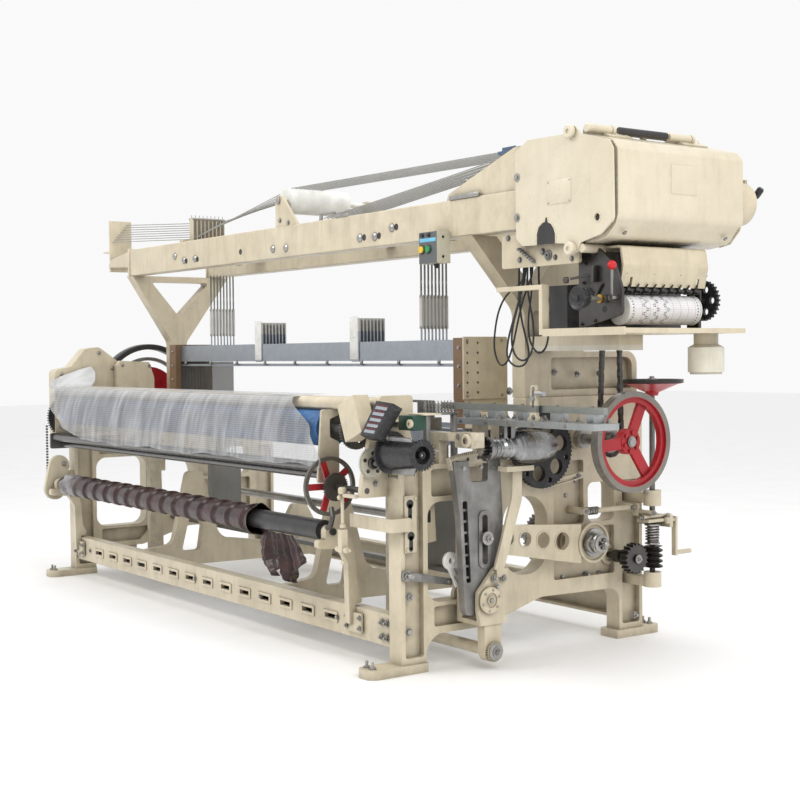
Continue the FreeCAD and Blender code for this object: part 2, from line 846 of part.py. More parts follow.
def spoked_wheel(x_front, y, z, rim_r, rim_width, rim_depth, spokes, spoke_width, hub_r, spoke_x):
    """A handwheel: a flat-sided rim, spokes and a hub, turning about x."""
    rim = ring("x", x_front - rim_depth, x_front, y, z, rim_r, rim_r - rim_width)
    bars = []
    for i in range(spokes):
        turn = FreeCAD.Rotation(Vector(1, 0, 0), 360.0 * i / spokes + 18)
        bar = doc.addObject("Part::Box", "Spoke")
        bar.Length = 10
        bar.Width = spoke_width
        bind(bar, "Height", rim_r - rim_width / 2)
        corner = turn.multVec(Vector(0, -spoke_width / 2, 0))
        bar.Placement = FreeCAD.Placement(Vector(num(spoke_x), num(y) + corner.y, num(z) + corner.z), turn)
        bars.append(bar)
    return fuse(rim, *bars, rod("x", spoke_x - 6, spoke_x + 18, y, z, hub_r))


def take_up_handwheel():
    """The small five-spoke handwheel of the take-up, its shaft and its pinion."""
    y, z = -100, 717
    wheel = spoked_wheel(-340, y, z, 120, 16, 14, 5, 26, 24, -352)
    shaft = rod("x", -340, frame_inner - 1, y, z, 12)
    pinion = toothed(36, 52, 57, -310, -296, "x", (y, z))
    return node("take_up_handwheel", fuse(wheel, shaft, feature(pinion)))


take_up_handwheel()


def take_up_brackets():
    """The take-up gears' plate with its indicator box and pull rod, and the guard bar at the right end."""
    plate = prism("x", [(-130, 690, 12), (20, 690, 6), (20, 740, 6), (100, 740, 6), (100, 980, 10), (-70, 980, 20),
                        (-120, 760, 20)], frame_inner - 24, frame_inner,
                  [("o", take_up_y, take_up_z, 20 + shaft_clear), ("o", -100, 717, 12 + shaft_clear),
                   ("o", spool_y, spool_z, spool_stub_r + shaft_clear)])
    guard = prism("z", [(-260, -62), (26, -62, 14), (26, 30), (0, 30), (0, 0), (16, 0), (16, -52, 4),
                        (-260, -52)], 560, 612)
    clevis = fuse(rod("z", 560, 700, -200, -136, 7, 12), box(-214, -186, -150, -122, 470, 560),
                  rod("x", -240, -160, -136, 480, 12, 12), rod("z", 440, 470, -200, -136, 6, 8))
    arm = box(-214, frame_inner - 23, -143, -125, 688, 702)
    indicator = doc.addObject("Part::Box", "IndicatorBox")
    indicator.Length = 120
    indicator.Width = 70
    indicator.Height = 150
    place(indicator, -150, -152, 905, FreeCAD.Rotation(Vector(0, 1, 0), -22))
    post = box(frame_inner - 20, frame_inner - 4, -100, -60, 925, 960)
    return fuse(plate, clevis, arm, indicator, post), guard


def guide_rods():
    """The two polished guide rods under the take-up roller, and the plate that holds their right ends."""
    rods = []
    for y, z, r in ((-105, 792, 20), (-52, 752, 17)):
        rods.append(rod("x", left_inner - 20, -396, y, z, r))
    under = take_up_z + take_up_r + 4
    end_plate = prism("x", [(-132, 728, 10), (-28, 728, 10), (-28, 890, 10), (-72, 912, 6), (-72, 985, 6),
                            (-30, 1000, 6), (-30, under), (-110, under, 10)], -396, -384)
    left_plate = prism("x", [(-132, 728, 10), (-1, 728), (-1, 816), (-132, 816, 10)],
                       left_inner - 36, left_inner - 20)
    return node("guide_rods", *rods, end_plate, left_plate)


def cloth_roller():
    """The cloth roller: a tube with a stepped journal at each end."""
    left, right = left_face + 180, -390
    return node("cloth_roller", fuse(rod("x", left, right, cloth_y, cloth_z, cloth_r),
                                     rod("x", right, right + 16, cloth_y, cloth_z, 26),
                                     rod("x", right + 16, right + 70, cloth_y, cloth_z, 14),
                                     rod("x", left - 60, left, cloth_y, cloth_z, 14)))


def cloth_wrap():
    """The packing wound on the cloth roller, ribbed where each turn laps the last one."""
    left, right = num(left_face) + 240, -900
    pitch = (right - left) / SIZES["wrap_ribs"]
    profile = ((0.0, -9), (0.2, 0), (0.94, -7))
    sides = 16
    turns = [2 * math.pi * side / sides for side in range(sides)]
    sections = []
    for rib in range(SIZES["wrap_ribs"]):
        for share, rise in profile:
            radius = num(wrap_r) + rise
            sections.append([Vector(left + (rib + share) * pitch, num(cloth_y) + radius * math.cos(turn),
                                    num(cloth_z) + radius * math.sin(turn)) for turn in turns])
    outer = faceted(sections, planar=True)
    bore = Part.makeCylinder(num(cloth_r + seat_gap), right - left + 400,
                             Vector(left - 200, num(cloth_y), num(cloth_z)), Vector(1, 0, 0))
    return node("cloth_wrap", feature(outer.cut(bore)))


def wrap_tail():
    """The loose end of the packing, which hangs from the roller in folds."""
    sections = []
    top = num(cloth_z - cloth_r) - 0.4
    rows = ((0, 110, 40), (52, 150, 60), (112, 210, 70), (172, 190, 64), (220, 110, 40))
    for drop, width, depth in rows:
        corners = []
        for step in range(12):
            turn = 2 * math.pi * step / 12
            fold = 1.0 if step % 2 else 0.55
            corners.append(Vector(-760 + width / 2 * fold * math.cos(turn) + drop * 0.15,
                                  num(cloth_y) + depth / 2 * fold * math.sin(turn), top - drop))
        sections.append(corners)
    return node("wrap_tail", feature(faceted(sections)))


def front_brackets():
    """The brackets along the front, the left chain cover and the covers of the left rapier drive."""
    arms = []
    for low in (-365, left_face + 100):
        high = low + 34
        arms.append(fuse(
            prism("x", [(-20, 150, 8), (9.7, 150), (9.7, 230), (40, 236), (40, 250), (20, 300, 30),
                        (10, 420, 20), (-10, 505, 10), (-165, 505, 14), (-165, 470, 14), (-60, 462, 30),
                        (-26, 400, 30)], low, high),
            box(low - 18, high + 60, -6, 4.7, 120, 200),
            cut(prism("x", [(-132, 500, 10), (-68, 500, 10), (-68, 560, 26), (-132, 560, 26)], low, high),
                rod("x", low - 1, high + 1, cloth_y, cloth_z, 14 + shaft_clear))))
    cover = fuse(prism("x", [(-190, 440, 60), (-70, 440, 50), (-14, 690, 60), (-134, 690, 60)],
                       left_face + 45, left_face + 72),
                 box(left_face + 50, left_face + 66, -70, 0, 560, 600))
    hood = prism("x", [(-90, frame_top), (372, frame_top), (372, 1100, 20), (300, 1216, 40), (180, 1304, 50),
                       (95, 1292, 30), (10, 1192, 30), (-90, 1172, 30)], left_face - 60, left_face + 30,
                 [("o", 62, 1150, 14)])
    case = prism("x", [(270, frame_top), (500, frame_top), (500, 1120, 10), (470, 1213, 10), (290, 1222, 10),
                       (270, 1196, 6)], left_face + 34, left_face + 88)
    return node("front_brackets", *take_up_brackets(), *arms, cover, hood, case)


guide_rods()
cloth_roller()
cloth_wrap()
wrap_tail()
front_brackets()


def plastic_film():
    """The clear film thrown over the breast beam and take-up roller, with its main folds."""
    left, right = num(left_face) + 90, -430
    stations = 12
    sections = []
    top = num(breast_top) - 1.5
    path = ((104, top - 10), (54, top), (-64, top), (-122, top - 30), (-132, 960), (-138, 870), (-140, 800))
    for station in range(stations + 1):
        x = left + (right - left) * station / stations
        fold = 9 * math.sin(station * 2.1) + 6 * math.sin(station * 0.9 + 1)
        drop = 14 * math.sin(station * 1.7)
        outer = []
        inner = []
        for index, (y, z) in enumerate(path):
            sway = fold * index / len(path)
            fall = drop if index == len(path) - 1 else 0
            outer.append(Vector(x, y - 9 - sway, z + 8 + fall))
            inner.append(Vector(x, y - 4 - sway, z + 2 + fall))
        sections.append(outer + inner[::-1])
    return node("plastic_film", feature(faceted(sections)))


plastic_film()


# ---------------------------------------------------------------- heald frames and their harness

def heald_frame(index):
    """One heald frame: two bars, two end stays, heald rods, two spacer plates, two hangers and two pull rods."""
    y0 = heald_first_y + heald_pitch * index
    y1 = y0 + heald_thick
    middle = (y0 + y1) / 2
    low_bar = heald_bottom + 60
    top = prism("y", [(heald_left, heald_top - heald_bar), (heald_right, heald_top - heald_bar),
                      (heald_right, heald_top), (heald_left, heald_top)], y0, y1)
    bottom = box(heald_left, heald_right, y0, y1, heald_bottom, low_bar)
    ends = [box(x, x + 16, y0 + 1, y1 - 1, low_bar, heald_top - heald_bar)
            for x in (heald_left, heald_right - 16)]
    carriers = [box(heald_left + 16, heald_right - 16, middle - 1.5, middle + 1.5, z, z + 12)
                for z in (low_bar + 14, heald_top - heald_bar - 26)]
    spacers = []
    for share in (0.633, 0.354):
        x = left_face * share
        if index == 0:
            spacers.append(fuse(box(x, x + 62, y0 - 4, y1 - 2, heald_top, heald_top + 112),
                                box(x, x + 62, y0 - 4, y0 - 0.2, heald_top - heald_bar - 4, heald_top + 1)))
        else:
            spacers.append(box(x, x + 62, y0 + 2, y1 - 2, heald_top, heald_top + 112))
    hangers = []
    for x in (hanger_left, hanger_right):
        hangers.append(fuse(box(x - 4, x + 4, middle - 2.5, middle + 2.5, heald_top, 1690),
                            box(x - 9, x + 9, y0 + 1, y1 - 1, heald_top + 52, heald_top + 200)))
        hangers.append(rod("z", cassette_top + heald_stroke + 5, heald_bottom, x, middle, 3, 8))
    whole = fuse(top, bottom, *ends, *carriers)
    return node(f"heald_frame_{index + 1}", whole, *spacers, *hangers)


for frame_index in range(HEALD_COUNT):
    heald_frame(frame_index)


def heald_guides():
    """The slotted guides at both ends of the heald frames and the spring cassettes under them."""
    pieces = []
    for side, x_tip, x_back in (("right", heald_right - 30, heald_right + 46),
                                ("left", heald_left + 30, heald_left - 46)):
        first, last = (x_tip, x_back) if side == "right" else (x_back, x_tip)
        front = heald_first_y - 36
        back = heald_first_y + heald_pitch * HEALD_COUNT + 40
        block = box(first, last, front, back, 930, 1312)
        slots = []
        for index in range(HEALD_COUNT):
            y = heald_first_y + heald_pitch * index - seat_gap
            if side == "right":
                slots.append(box(first - 1, heald_right + 1, y, y + heald_thick + seat_gap * 2, 920, 1322))
            else:
                slots.append(box(heald_left - 1, last + 1, y, y + heald_thick + seat_gap * 2, 920, 1322))
        pieces.append(cut(block, *slots))
    plate = feature(Part.makeBox(8, 236, 264, Vector(num(heald_right) + 46, num(heald_first_y) - 46, 1052)).cut(
        Part.makeCompound([many_sided("x", num(heald_right) + 40, num(heald_right) + 60,
                                      (num(heald_first_y) - 26 + 56 * column, 1080 + 42 * line), 6, 8)
                           for column in range(2) for line in range(6)])))
    pieces.append(plate)
    first = heald_first_y - 34
    foot_right = fuse(box(heald_right + 46, -20, first, first + 30, 930, 1000),
                      box(-70, -20, first - 10, first + 40, frame_top, 1000))
    foot_left = fuse(box(mirrored(-20), heald_left - 46, first, first + 30, 930, 1000),
                     box(mirrored(-20), mirrored(-70), first - 10, first + 40, frame_top, 1000))
    pieces.append(box(left_inner, frame_inner, 600, 640, 280, 300))
    for x in (hanger_left, hanger_right):
        front = heald_first_y - 14
        back = heald_first_y + heald_pitch * HEALD_COUNT + 4
        pieces.append(box(x - 30, x + 30, front, back, 300, cassette_top))
    return node("heald_guides", *pieces, foot_right, foot_left)


heald_guides()


# ---------------------------------------------------------------- main shaft, cam shaft and rapier drive

def main_shaft():
    """The main shaft's right end with the chain sprocket and the handwheel's seat."""
    bar = rod("x", frame_inner - 40, 336, shaft_y, shaft_z, shaft_r)
    sprocket = rod("x", 205, 215, shaft_y, shaft_z, 52)
    hub = rod("x", 190, 240, shaft_y, shaft_z, 34)
    collar = rod("x", 29, 60, shaft_y, shaft_z, 40)
    return node("main_shaft", fuse(bar, sprocket, hub, collar))


def main_handwheel():
    """The big handwheel: a heavy rim, three broad spokes and a bolted hub."""
    rim = cut(rod("x", handwheel_x - 40, handwheel_x, shaft_y, shaft_z, handwheel_r),
              rod("x", handwheel_x - 41, handwheel_x + 1, shaft_y, shaft_z, handwheel_r - 26))
    felloe = ring("x", handwheel_x - 36, handwheel_x - 10, shaft_y, shaft_z, handwheel_r - 25, handwheel_r - 46)
    spokes = []
    for turn_degrees in (95, -25, 215):
        turn = FreeCAD.Rotation(Vector(1, 0, 0), turn_degrees)
        spoke = doc.addObject("Part::Box", "Spoke")
        spoke.Length = 16
        spoke.Width = 46
        bind(spoke, "Height", handwheel_r - 34)
        corner = turn.multVec(Vector(0, -23, 0))
        spoke.Placement = FreeCAD.Placement(Vector(num(handwheel_x) - 40, num(shaft_y) + corner.y,
                                                   num(shaft_z) + corner.z), turn)
        spokes.append(spoke)
    hub = rod("x", handwheel_x - 62, handwheel_x - 22, shaft_y, shaft_z, 52)
    wheel = cut(fuse(rim, felloe, *spokes, hub),
                rod("x", handwheel_x - 70, handwheel_x + 1, shaft_y, shaft_z, shaft_r))
    nuts = []
    for i in range(6):
        turn = math.radians(60 * i + 20)
        nuts.append(rod("x", handwheel_x - 22, handwheel_x - 14, shaft_y + 38 * math.cos(turn),
                        shaft_z + 38 * math.sin(turn), 8, 6))
    return node("main_handwheel", wheel, *nuts)


def cam_shaft():
    """The lower shaft across the loom, with the eccentric that drives the rapier lever."""
    bar = rod("x", left_inner - 60, rod_low_x + 66, cam_y, cam_z, shaft_r)
    eccentric = rod("x", rod_low_x - 6, rod_low_x + rod_thick + 6, cam_y + cam_throw, cam_z, cam_r)
    lip = rod("x", rod_low_x + rod_thick + 0.5, rod_low_x + rod_thick + 8, cam_y + cam_throw, cam_z, cam_r + 8)
    hub = rod("x", rod_low_x + rod_thick + 6, rod_low_x + 54, cam_y, cam_z, 36)
    gear = toothed(40, 118, 126, -190, -160, "x", (num(cam_y), num(cam_z)), bore=num(shaft_r))
    return node("cam_shaft", fuse(bar, eccentric, lip, hub), feature(gear))


def connecting_rod():
    """The flat connecting rod with four round holes, from the eccentric to the rapier lever."""
    rod_body = new_body("connecting_rod")
    big_y = cam_y + cam_throw
    low, high = rod_low_x, rod_low_x + rod_thick
    small_y = pivot_y - 13
    pad(rod_body, "x", [(small_y - 46, bolt_z + 48, 40), (big_y - 70, cam_z + 82), (big_y - 70, cam_z - 82),
                        (small_y - 46, bolt_z - 48, 40)], low, high)
    pad(rod_body, "x", ("o", big_y, cam_z, cam_r + 28), low, high)
    holes = [("o", big_y, cam_z, cam_r + shaft_clear), ("o", small_y, bolt_z, 13)]
    for share, radius in ((0.27, 27), (0.41, 30), (0.56, 33), (0.725, 37)):
        holes.append(("o", small_y + (big_y - small_y) * share, bolt_z + (cam_z - bolt_z) * share, radius))
    pocket(rod_body, "x", holes, low - 1, high + 1)
    return node("connecting_rod", rod_body)


def rapier_lever():
    """The cast rapier lever with its adjusting slot, and the toothed sector on top."""
    low, high = lever_low_x, lever_low_x + lever_thick
    lever = new_body("rapier_lever_casting")
    outline = [(pivot_y - 96, pivot_z - 57, 26), (pivot_y + 30, pivot_z - 60, 40), (pivot_y + 70, pivot_z - 10, 30),
               (pivot_y + 97, pivot_z + 307, 60), (pivot_y + 84, pivot_z + 546), (pivot_y + 24, pivot_z + 546),
               (pivot_y + 20, pivot_z + 462, 12), (pivot_y - 60, pivot_z + 462, 12), (pivot_y - 76, pivot_z + 546),
               (pivot_y - 149, pivot_z + 546), (pivot_y - 117, pivot_z + 323, 40)]
    pad(lever, "x", outline, low, high)
    rim = [(pivot_y - 28, bolt_z - 120, 26), (pivot_y + 32, bolt_z - 120, 26), (pivot_y + 32, bolt_z + 107, 26),
           (pivot_y - 28, bolt_z + 107, 26)]
    pad(lever, "x", rim, high, high + 5)
    slot = [(pivot_y - 12, bolt_z - 104, 13), (pivot_y + 16, bolt_z - 104, 13), (pivot_y + 16, bolt_z + 91, 13),
            (pivot_y - 12, bolt_z + 91, 13)]
    pocket(lever, "x", [slot, ("o", pivot_y, pivot_z, 16 + shaft_clear)], low - 1, high + 6)
    groove = [(pivot_y - 88, bolt_z - 170, 8), (pivot_y - 66, bolt_z - 170, 8), (pivot_y - 82, bolt_z + 150, 8),
              (pivot_y - 106, bolt_z + 150, 8)]
    pocket(lever, "x", [groove], low + 8, high + 6)
    teeth = []
    first, last, count = math.radians(-16.5), math.radians(7), 24
    root, tip = num(sector_r) - 9, num(sector_r)
    pitch = (last - first) / count
    for tooth in range(count):
        for share, radius in ((0.1, root), (0.32, tip), (0.62, tip), (0.84, root)):
            turn = first + (tooth + share) * pitch
            teeth.append(Vector(0, num(pivot_y) + radius * math.sin(turn),
                                num(pivot_z) + radius * math.cos(turn)))
    inner = num(sector_r) - 48
    inside = [Vector(0, num(pivot_y) + inner * math.sin(turn), num(pivot_z) + inner * math.cos(turn))
              for turn in (last, last / 2 + first / 2 + 0.1, last / 2 + first / 2 - 0.1, first)]
    edge = Part.makePolygon(teeth + inside + [teeth[0]])
    sector = Part.Face(edge).extrude(Vector(22, 0, 0))
    sector.translate(Vector(num(low) + 6, 0, 0))
    bolt = fuse(rod("x", low - 3, high + 20, pivot_y + 2, bolt_z, 12),
                rod("x", high + 5, high + 12, pivot_y + 2, bolt_z, 24))
    return node("rapier_lever", fuse(lever, feature(sector)), bolt)


def pivot_bracket():
    """The pivot bracket of the rapier lever, with its pin, cap, lower hanger and bent stay arm."""
    outer = lever_low_x + lever_thick + 6
    front = prism("x", [(pivot_y - 40, pivot_z - 100, 6), (pivot_y + 92, pivot_z - 100, 6),
                        (pivot_y + 92, pivot_z + 122, 12), (pivot_y + 34, pivot_z + 122, 12),
                        (pivot_y - 52, pivot_z + 30, 30), (pivot_y - 52, pivot_z - 40, 20)], outer, outer + 20)
    web = box(0, outer + 20, pivot_y - 40, pivot_y + 92, pivot_z - 100, pivot_z - 82)
    back = box(0, 30, pivot_y - 40, pivot_y + 92, pivot_z - 100, pivot_z + 40)
    pin = rod("x", 0, outer + 26, pivot_y, pivot_z, 16)
    cap = rod("x", outer + 20, outer + 30, pivot_y, pivot_z, 39)
    seat = [("o", rocker_y, rocker_z, rocker_r + shaft_clear)]
    hanger = prism("x", [(rocker_y - 44, pivot_z - 90), (rocker_y + 44, pivot_z - 90),
                         (rocker_y + 40, rocker_z - 40, 36), (rocker_y - 40, rocker_z - 40, 36)],
                   outer - 30, outer + 14, seat)
    block = box(outer + 20, outer + 32, pivot_y + 34, pivot_y + 90, pivot_z + 86, pivot_z + 118)
    arm = prism("x", [(pivot_y + 24, pivot_z + 118), (pivot_y + 66, pivot_z + 104),
                      (pivot_y + 164, pivot_z + 384, 20), (pivot_y + 166, pivot_z + 503),
                      (pivot_y + 118, pivot_z + 503), (pivot_y + 114, pivot_z + 396, 20)],
                outer + 20, outer + 32)
    top = box(outer + 20, outer + 76, pivot_y + 52, pivot_y + 190, pivot_z + 501, pivot_z + 521)
    left_hanger = prism("x", [(rocker_y - 46, 142), (rocker_y + 46, 142), (rocker_y + 38, rocker_z - 38, 34),
                              (rocker_y - 38, rocker_z - 38, 34)], left_inner - 50, left_inner - 20, seat)
    cross_shaft = rod("x", left_inner - 60, outer + 24, rocker_y, rocker_z, rocker_r)
    return node("pivot_bracket", fuse(front, web, back, pin, cap, hanger, block, arm, top), left_hanger,
                cross_shaft)


def drive_pulley():
    """The large toothed pulley with round holes beside the rapier gearbox."""
    wheel = toothed(54, num(pulley_r) - 5, num(pulley_r), 40, 62, "x", (num(pulley_y), num(pulley_z)))
    cutters = []
    for i in range(6):
        turn = math.radians(60 * i + 15)
        for distance, radius, shift, sides in ((98, 34, 0, 24), (128, 12, 0.5236, 12)):
            cutters.append(many_sided("x", 30, 70, (num(pulley_y) + distance * math.cos(turn + shift),
                                                    num(pulley_z) + distance * math.sin(turn + shift)),
                                      radius, sides))
    wheel = wheel.cut(Part.makeCompound(cutters))
    return node("drive_pulley", fuse(feature(wheel), rod("x", frame_inner - 20, 70, pulley_y, pulley_z, 15),
                                     rod("x", 10, 74, pulley_y, pulley_z, 30)))


def rapier_gearbox():
    """The polished cast gearbox of the rapier drive, with its cream bearing block."""
    centre_x, centre_z = 196, pulley_z + 31
    axis_x, axis_z = num(centre_x), num(centre_z)
    outline = [(262, 0), (262, 47), (276, 47), (282, 36), (334, 36), (345, 41), (396, 41), (406, 53), (428, 63),
               (462, 68), (506, 68), (548, 63), (588, 50), (616, 32), (630, 12), (630, 0)]
    edges = [Vector(axis_x + radius, y, axis_z) for y, radius in outline]
    face = Part.Face(Part.makePolygon(edges + [edges[0]]))
    turned = face.revolve(Vector(axis_x, 0, axis_z), Vector(0, 1, 0), 360)
    pinion = toothed(12, 20, 26, 239, 263, "y", (axis_x, axis_z))
    block = box(120, 222, 176, 240, pulley_z + 38, pulley_z + 97)
    bridge = fuse(box(0, 121, 190, 230, pulley_z + 60, pulley_z + 92),
                  box(-60, 1, 190, 230, frame_top, pulley_z + 92))
    lugs = [box(180, 212, 347, 362, centre_z, pulley_z + 117),
            box(178, 214, 380, 400, centre_z, pulley_z + 117)]
    return node("rapier_gearbox", fuse(feature(turned), feature(pinion), block, bridge, *lugs))


def rapier_guide():
    """The rapier's guide: an aluminium track plate, a steel rail and a slotted upright with its roller."""
    low, high = pulley_z + 117, pulley_z + 141
    plate = box(-104, 716, 345, 468, low, high)
    rail = box(-250, 713, 396, 414, high + 32, high + 58)
    blocks = [box(x, x + 46, 390, 440, high, high + 32) for x in (-100, 60, 230, 430, 620)]
    upright = prism("y", [(318, high), (392, high), (392, high + 8), (372, high + 18, 6), (366, high + 136, 6),
                          (338, high + 136, 6), (332, high + 18, 6), (318, high + 8)], 372, 386,
                    [[(346, high + 50, 5), (358, high + 50, 5), (358, high + 120, 5), (346, high + 120, 5)]])
    pin = fuse(rod("y", 364, 395, 352, high + 86, 4), rod("y", 364, 371.7, 352, high + 86, 11))
    roller = rod("x", 362, 408, 379, high + 104, 10)
    foot = box(-66, -26, 410, 460, frame_top, low)
    return node("rapier_guide", fuse(plate, rail, *blocks, upright, foot, roller), pin)


def weft_spool():
    """The winged spool for the waste selvedge: a flange, a tapered body, three wings and a scalloped rim."""
    body = taper("x", 16, 207, spool_y, spool_z, 66, 46)
    flange = toothed(48, 79, 83, 8, 17, "x", (num(spool_y), num(spool_z)))
    rim = toothed(28, 54, 60, 206, 212, "x", (num(spool_y), num(spool_z)))
    wings = []
    for i in range(3):
        turn = FreeCAD.Rotation(Vector(1, 0, 0), 120 * i + 40)
        wing = doc.addObject("Part::Box", "Wing")
        wing.Length = 150
        wing.Width = 3
        wing.Height = 82
        corner = turn.multVec(Vector(0, -1.5, 0))
        wing.Placement = FreeCAD.Placement(Vector(52, num(spool_y) + corner.y, num(spool_z) + corner.z), turn)
        wings.append(wing)
    hub = cut(fuse(body, feature(flange), feature(rim), *wings),
              ring("x", 176, 214, spool_y, spool_z, 34, 14), rod("x", 200, 214, spool_y, spool_z, 8))
    stub = rod("x", frame_inner - 22, 10, spool_y, spool_z, spool_stub_r)
    return node("weft_spool", fuse(hub, stub))


main_shaft()
main_handwheel()
cam_shaft()
connecting_rod()
rapier_lever()
pivot_bracket()
drive_pulley()
rapier_gearbox()
rapier_guide()
weft_spool()


def chain_path(count, low_radius, high_radius, low_y, low_z, high_y, high_z):
    """Pin places round a chain's closed path over two sprockets."""
    span_z = high_z - low_z
    lean = math.asin((low_radius - high_radius) / math.hypot(span_z, high_y - low_y))
    run = math.hypot(span_z, high_y - low_y) * math.cos(lean)
    lengths = (run, (math.pi - 2 * lean) * high_radius, run, (math.pi + 2 * lean) * low_radius)
    tilt = math.atan2(high_y - low_y, span_z)

    def at(distance):
        distance = distance % sum(lengths)
        if distance < lengths[0]:
            start = (low_y + low_radius * math.cos(tilt + lean), low_z + low_radius * math.sin(lean - tilt))
            turn = tilt - lean
            return start[0] + distance * math.sin(turn), start[1] + distance * math.cos(turn)
        distance -= lengths[0]
        if distance < lengths[1]:
            turn = lean - tilt + distance / high_radius
            return high_y + high_radius * math.cos(turn), high_z + high_radius * math.sin(turn)
        distance -= lengths[1]
        if distance < lengths[2]:
            turn = math.pi - lean - tilt
            start = (high_y + high_radius * math.cos(turn), high_z + high_radius * math.sin(turn))
            heading = tilt + lean
            return start[0] - distance * math.sin(heading), start[1] - distance * math.cos(heading)
        distance -= lengths[2]
        turn = math.pi - lean - tilt + distance / low_radius
        return low_y + low_radius * math.cos(turn), low_z + low_radius * math.sin(turn)

    step = sum(lengths) / count
    return [at(step * i) for i in range(count)]


def dobby_chain():
    """The roller chain from the main shaft up to the dobby, drawn link by link."""
    pins = chain_path(60, 62, 40, num(shaft_y), num(shaft_z), num(chain_top_y), num(chain_top_z))
    links = []
    for i, (y, z) in enumerate(pins):
        next_y, next_z = pins[(i + 1) % len(pins)]
        length = math.hypot(next_y - y, next_z - z)
        turn = FreeCAD.Rotation(Vector(1, 0, 0), math.degrees(math.atan2(next_z - z, next_y - y)))
        for low, width in (((-7.5, 15),) if i % 2 else ((-9.8, 2), (7.8, 2))):
            link = Part.makeBox(width, length + 8, 15, Vector(low, -4, -7.5))
            link.Placement = FreeCAD.Placement(Vector(210, y, z), turn)
            links.append(link)
    return node("dobby_chain", feature(Part.makeCompound(links)))


def dobby_sprocket():
    """The dobby's input shaft and the upper sprocket of the chain."""
    return node("dobby_sprocket", fuse(rod("x", 205, 215, chain_top_y, chain_top_z, 30),
                                       rod("x", 196, 520, chain_top_y, chain_top_z, 14),
                                       rod("x", 190, 232, chain_top_y, chain_top_z, 22)))


dobby_chain()
dobby_sprocket()


# ---------------------------------------------------------------- let-off

def let_off_shaft():
    """The upright let-off shaft: handwheel on top, spring collar and worm at the foot."""
    bar = rod("z", 262, 1128, worm_x, worm_y, 12)
    rim = ring("z", 1112, 1128, worm_x, worm_y, 134, 118)
    spokes = []
    for i in range(3):
        turn = FreeCAD.Rotation(Vector(0, 0, 1), 120 * i + 30)
        spoke = doc.addObject("Part::Box", "Spoke")
        spoke.Length = 122
        spoke.Width = 24
        spoke.Height = 8
        corner = turn.multVec(Vector(0, -12, 0))
        spoke.Placement = FreeCAD.Placement(Vector(num(worm_x) + corner.x, num(worm_y) + corner.y, 1114), turn)
        spokes.append(spoke)
    hub = rod("z", 1090, 1126, worm_x, worm_y, 30)
    collar = rod("z", 424, 500, worm_x, worm_y, 22)
    washer = rod("z", 500, 508, worm_x, worm_y, 32)
    core, throw, sides, turns, steps = num(worm_r) - 9, 9, 12, 4, 8
    sections = []
    low, high = num(worm_z) - 46, num(worm_z) + 46
    for step in range(turns * steps + 1):
        angle = 2 * math.pi * step / steps
        z = low + (high - low) * step / (turns * steps)
        centre = (num(worm_x) + throw * math.cos(angle), num(worm_y) + throw * math.sin(angle))
        corners = [Vector(centre[0] + core * math.cos(2 * math.pi * side / sides),
                          centre[1] + core * math.sin(2 * math.pi * side / sides), z) for side in range(sides)]
        sections.append(Part.makePolygon(corners + [corners[0]]))
    worm = Part.makeLoft(sections, True, True)
    return node("let_off_shaft", fuse(bar, rim, *spokes, hub, collar, washer, feature(worm)))


def worm_wheel():
    """The worm wheel that turns the warp beam's pinion shaft."""
    y = worm_y - worm_r - worm_gap - worm_wheel_r
    wheel = toothed(SIZES["worm_wheel_teeth"], num(worm_wheel_r) - 9, num(worm_wheel_r), 112, 152, "x",
                    (num(y), num(worm_z)))
    return node("worm_wheel", fuse(feature(wheel), rod("x", frame_inner - 40, 160, y, worm_z, 14),
                                   rod("x", 24, 60, y, worm_z, 27),
                                   feature(toothed(18, 60, 70, -126, -100, "x", (num(y), num(worm_z))))))


def crank_handle():
    """The hand crank that winds the warp beam."""
    x, z = 150, 518
    return node("crank_handle", fuse(rod("y", worm_y + 46, worm_y + 114, x, z, 10),
                                     box(x - 12, x + 12, worm_y + 112, worm_y + 124, 362, 532),
                                     rod("y", worm_y + 122, worm_y + 214, x, 374, 10)))


def let_off_bracket():
    """The castings that carry the let-off shaft and crank, and the tension link to the frame."""
    web_face = (web_thick - frame_thick) / 2
    top = cut(fuse(box(web_face, worm_x, worm_y - 34, worm_y + 30, 596, 640),
                   rod("z", 586, 652, worm_x, worm_y, 38)),
              rod("z", 580, 660, worm_x, worm_y, 12 + shaft_clear))
    foot = cut(fuse(box(web_face, worm_x, worm_y - 28, worm_y + 28, 236, 276),
                    rod("z", 236, 300, worm_x, worm_y, 38)),
               rod("z", 262, 310, worm_x, worm_y, 12 + shaft_clear))
    plate = cut(box(0, 186, worm_y + 51, worm_y + 70, 492, 544),
                rod("y", worm_y + 42, worm_y + 82, 150, 518, 10 + shaft_clear))
    link = fuse(rod("y", worm_y - 354, worm_y - 52, 70, 578, 11),
                rod("x", web_face, 82, worm_y - 338, 578, 16), rod("x", 0, 82, worm_y - 68, 578, 16))
    slotted = prism("x", [(700, 680, 10), (930, 716, 10), (930, 744, 10), (700, 708, 10)], 22, 34,
                    [[(720, 688, 4), (910, 718, 4), (910, 730, 4), (720, 700, 4)]])
    pins = rod("x", 0, 23, 712, 696, 9, 6)
    return node("let_off_bracket", top, foot, plate, link, fuse(slotted, pins))


let_off_shaft()
worm_wheel()
crank_handle()
let_off_bracket()


# ---------------------------------------------------------------- dobby

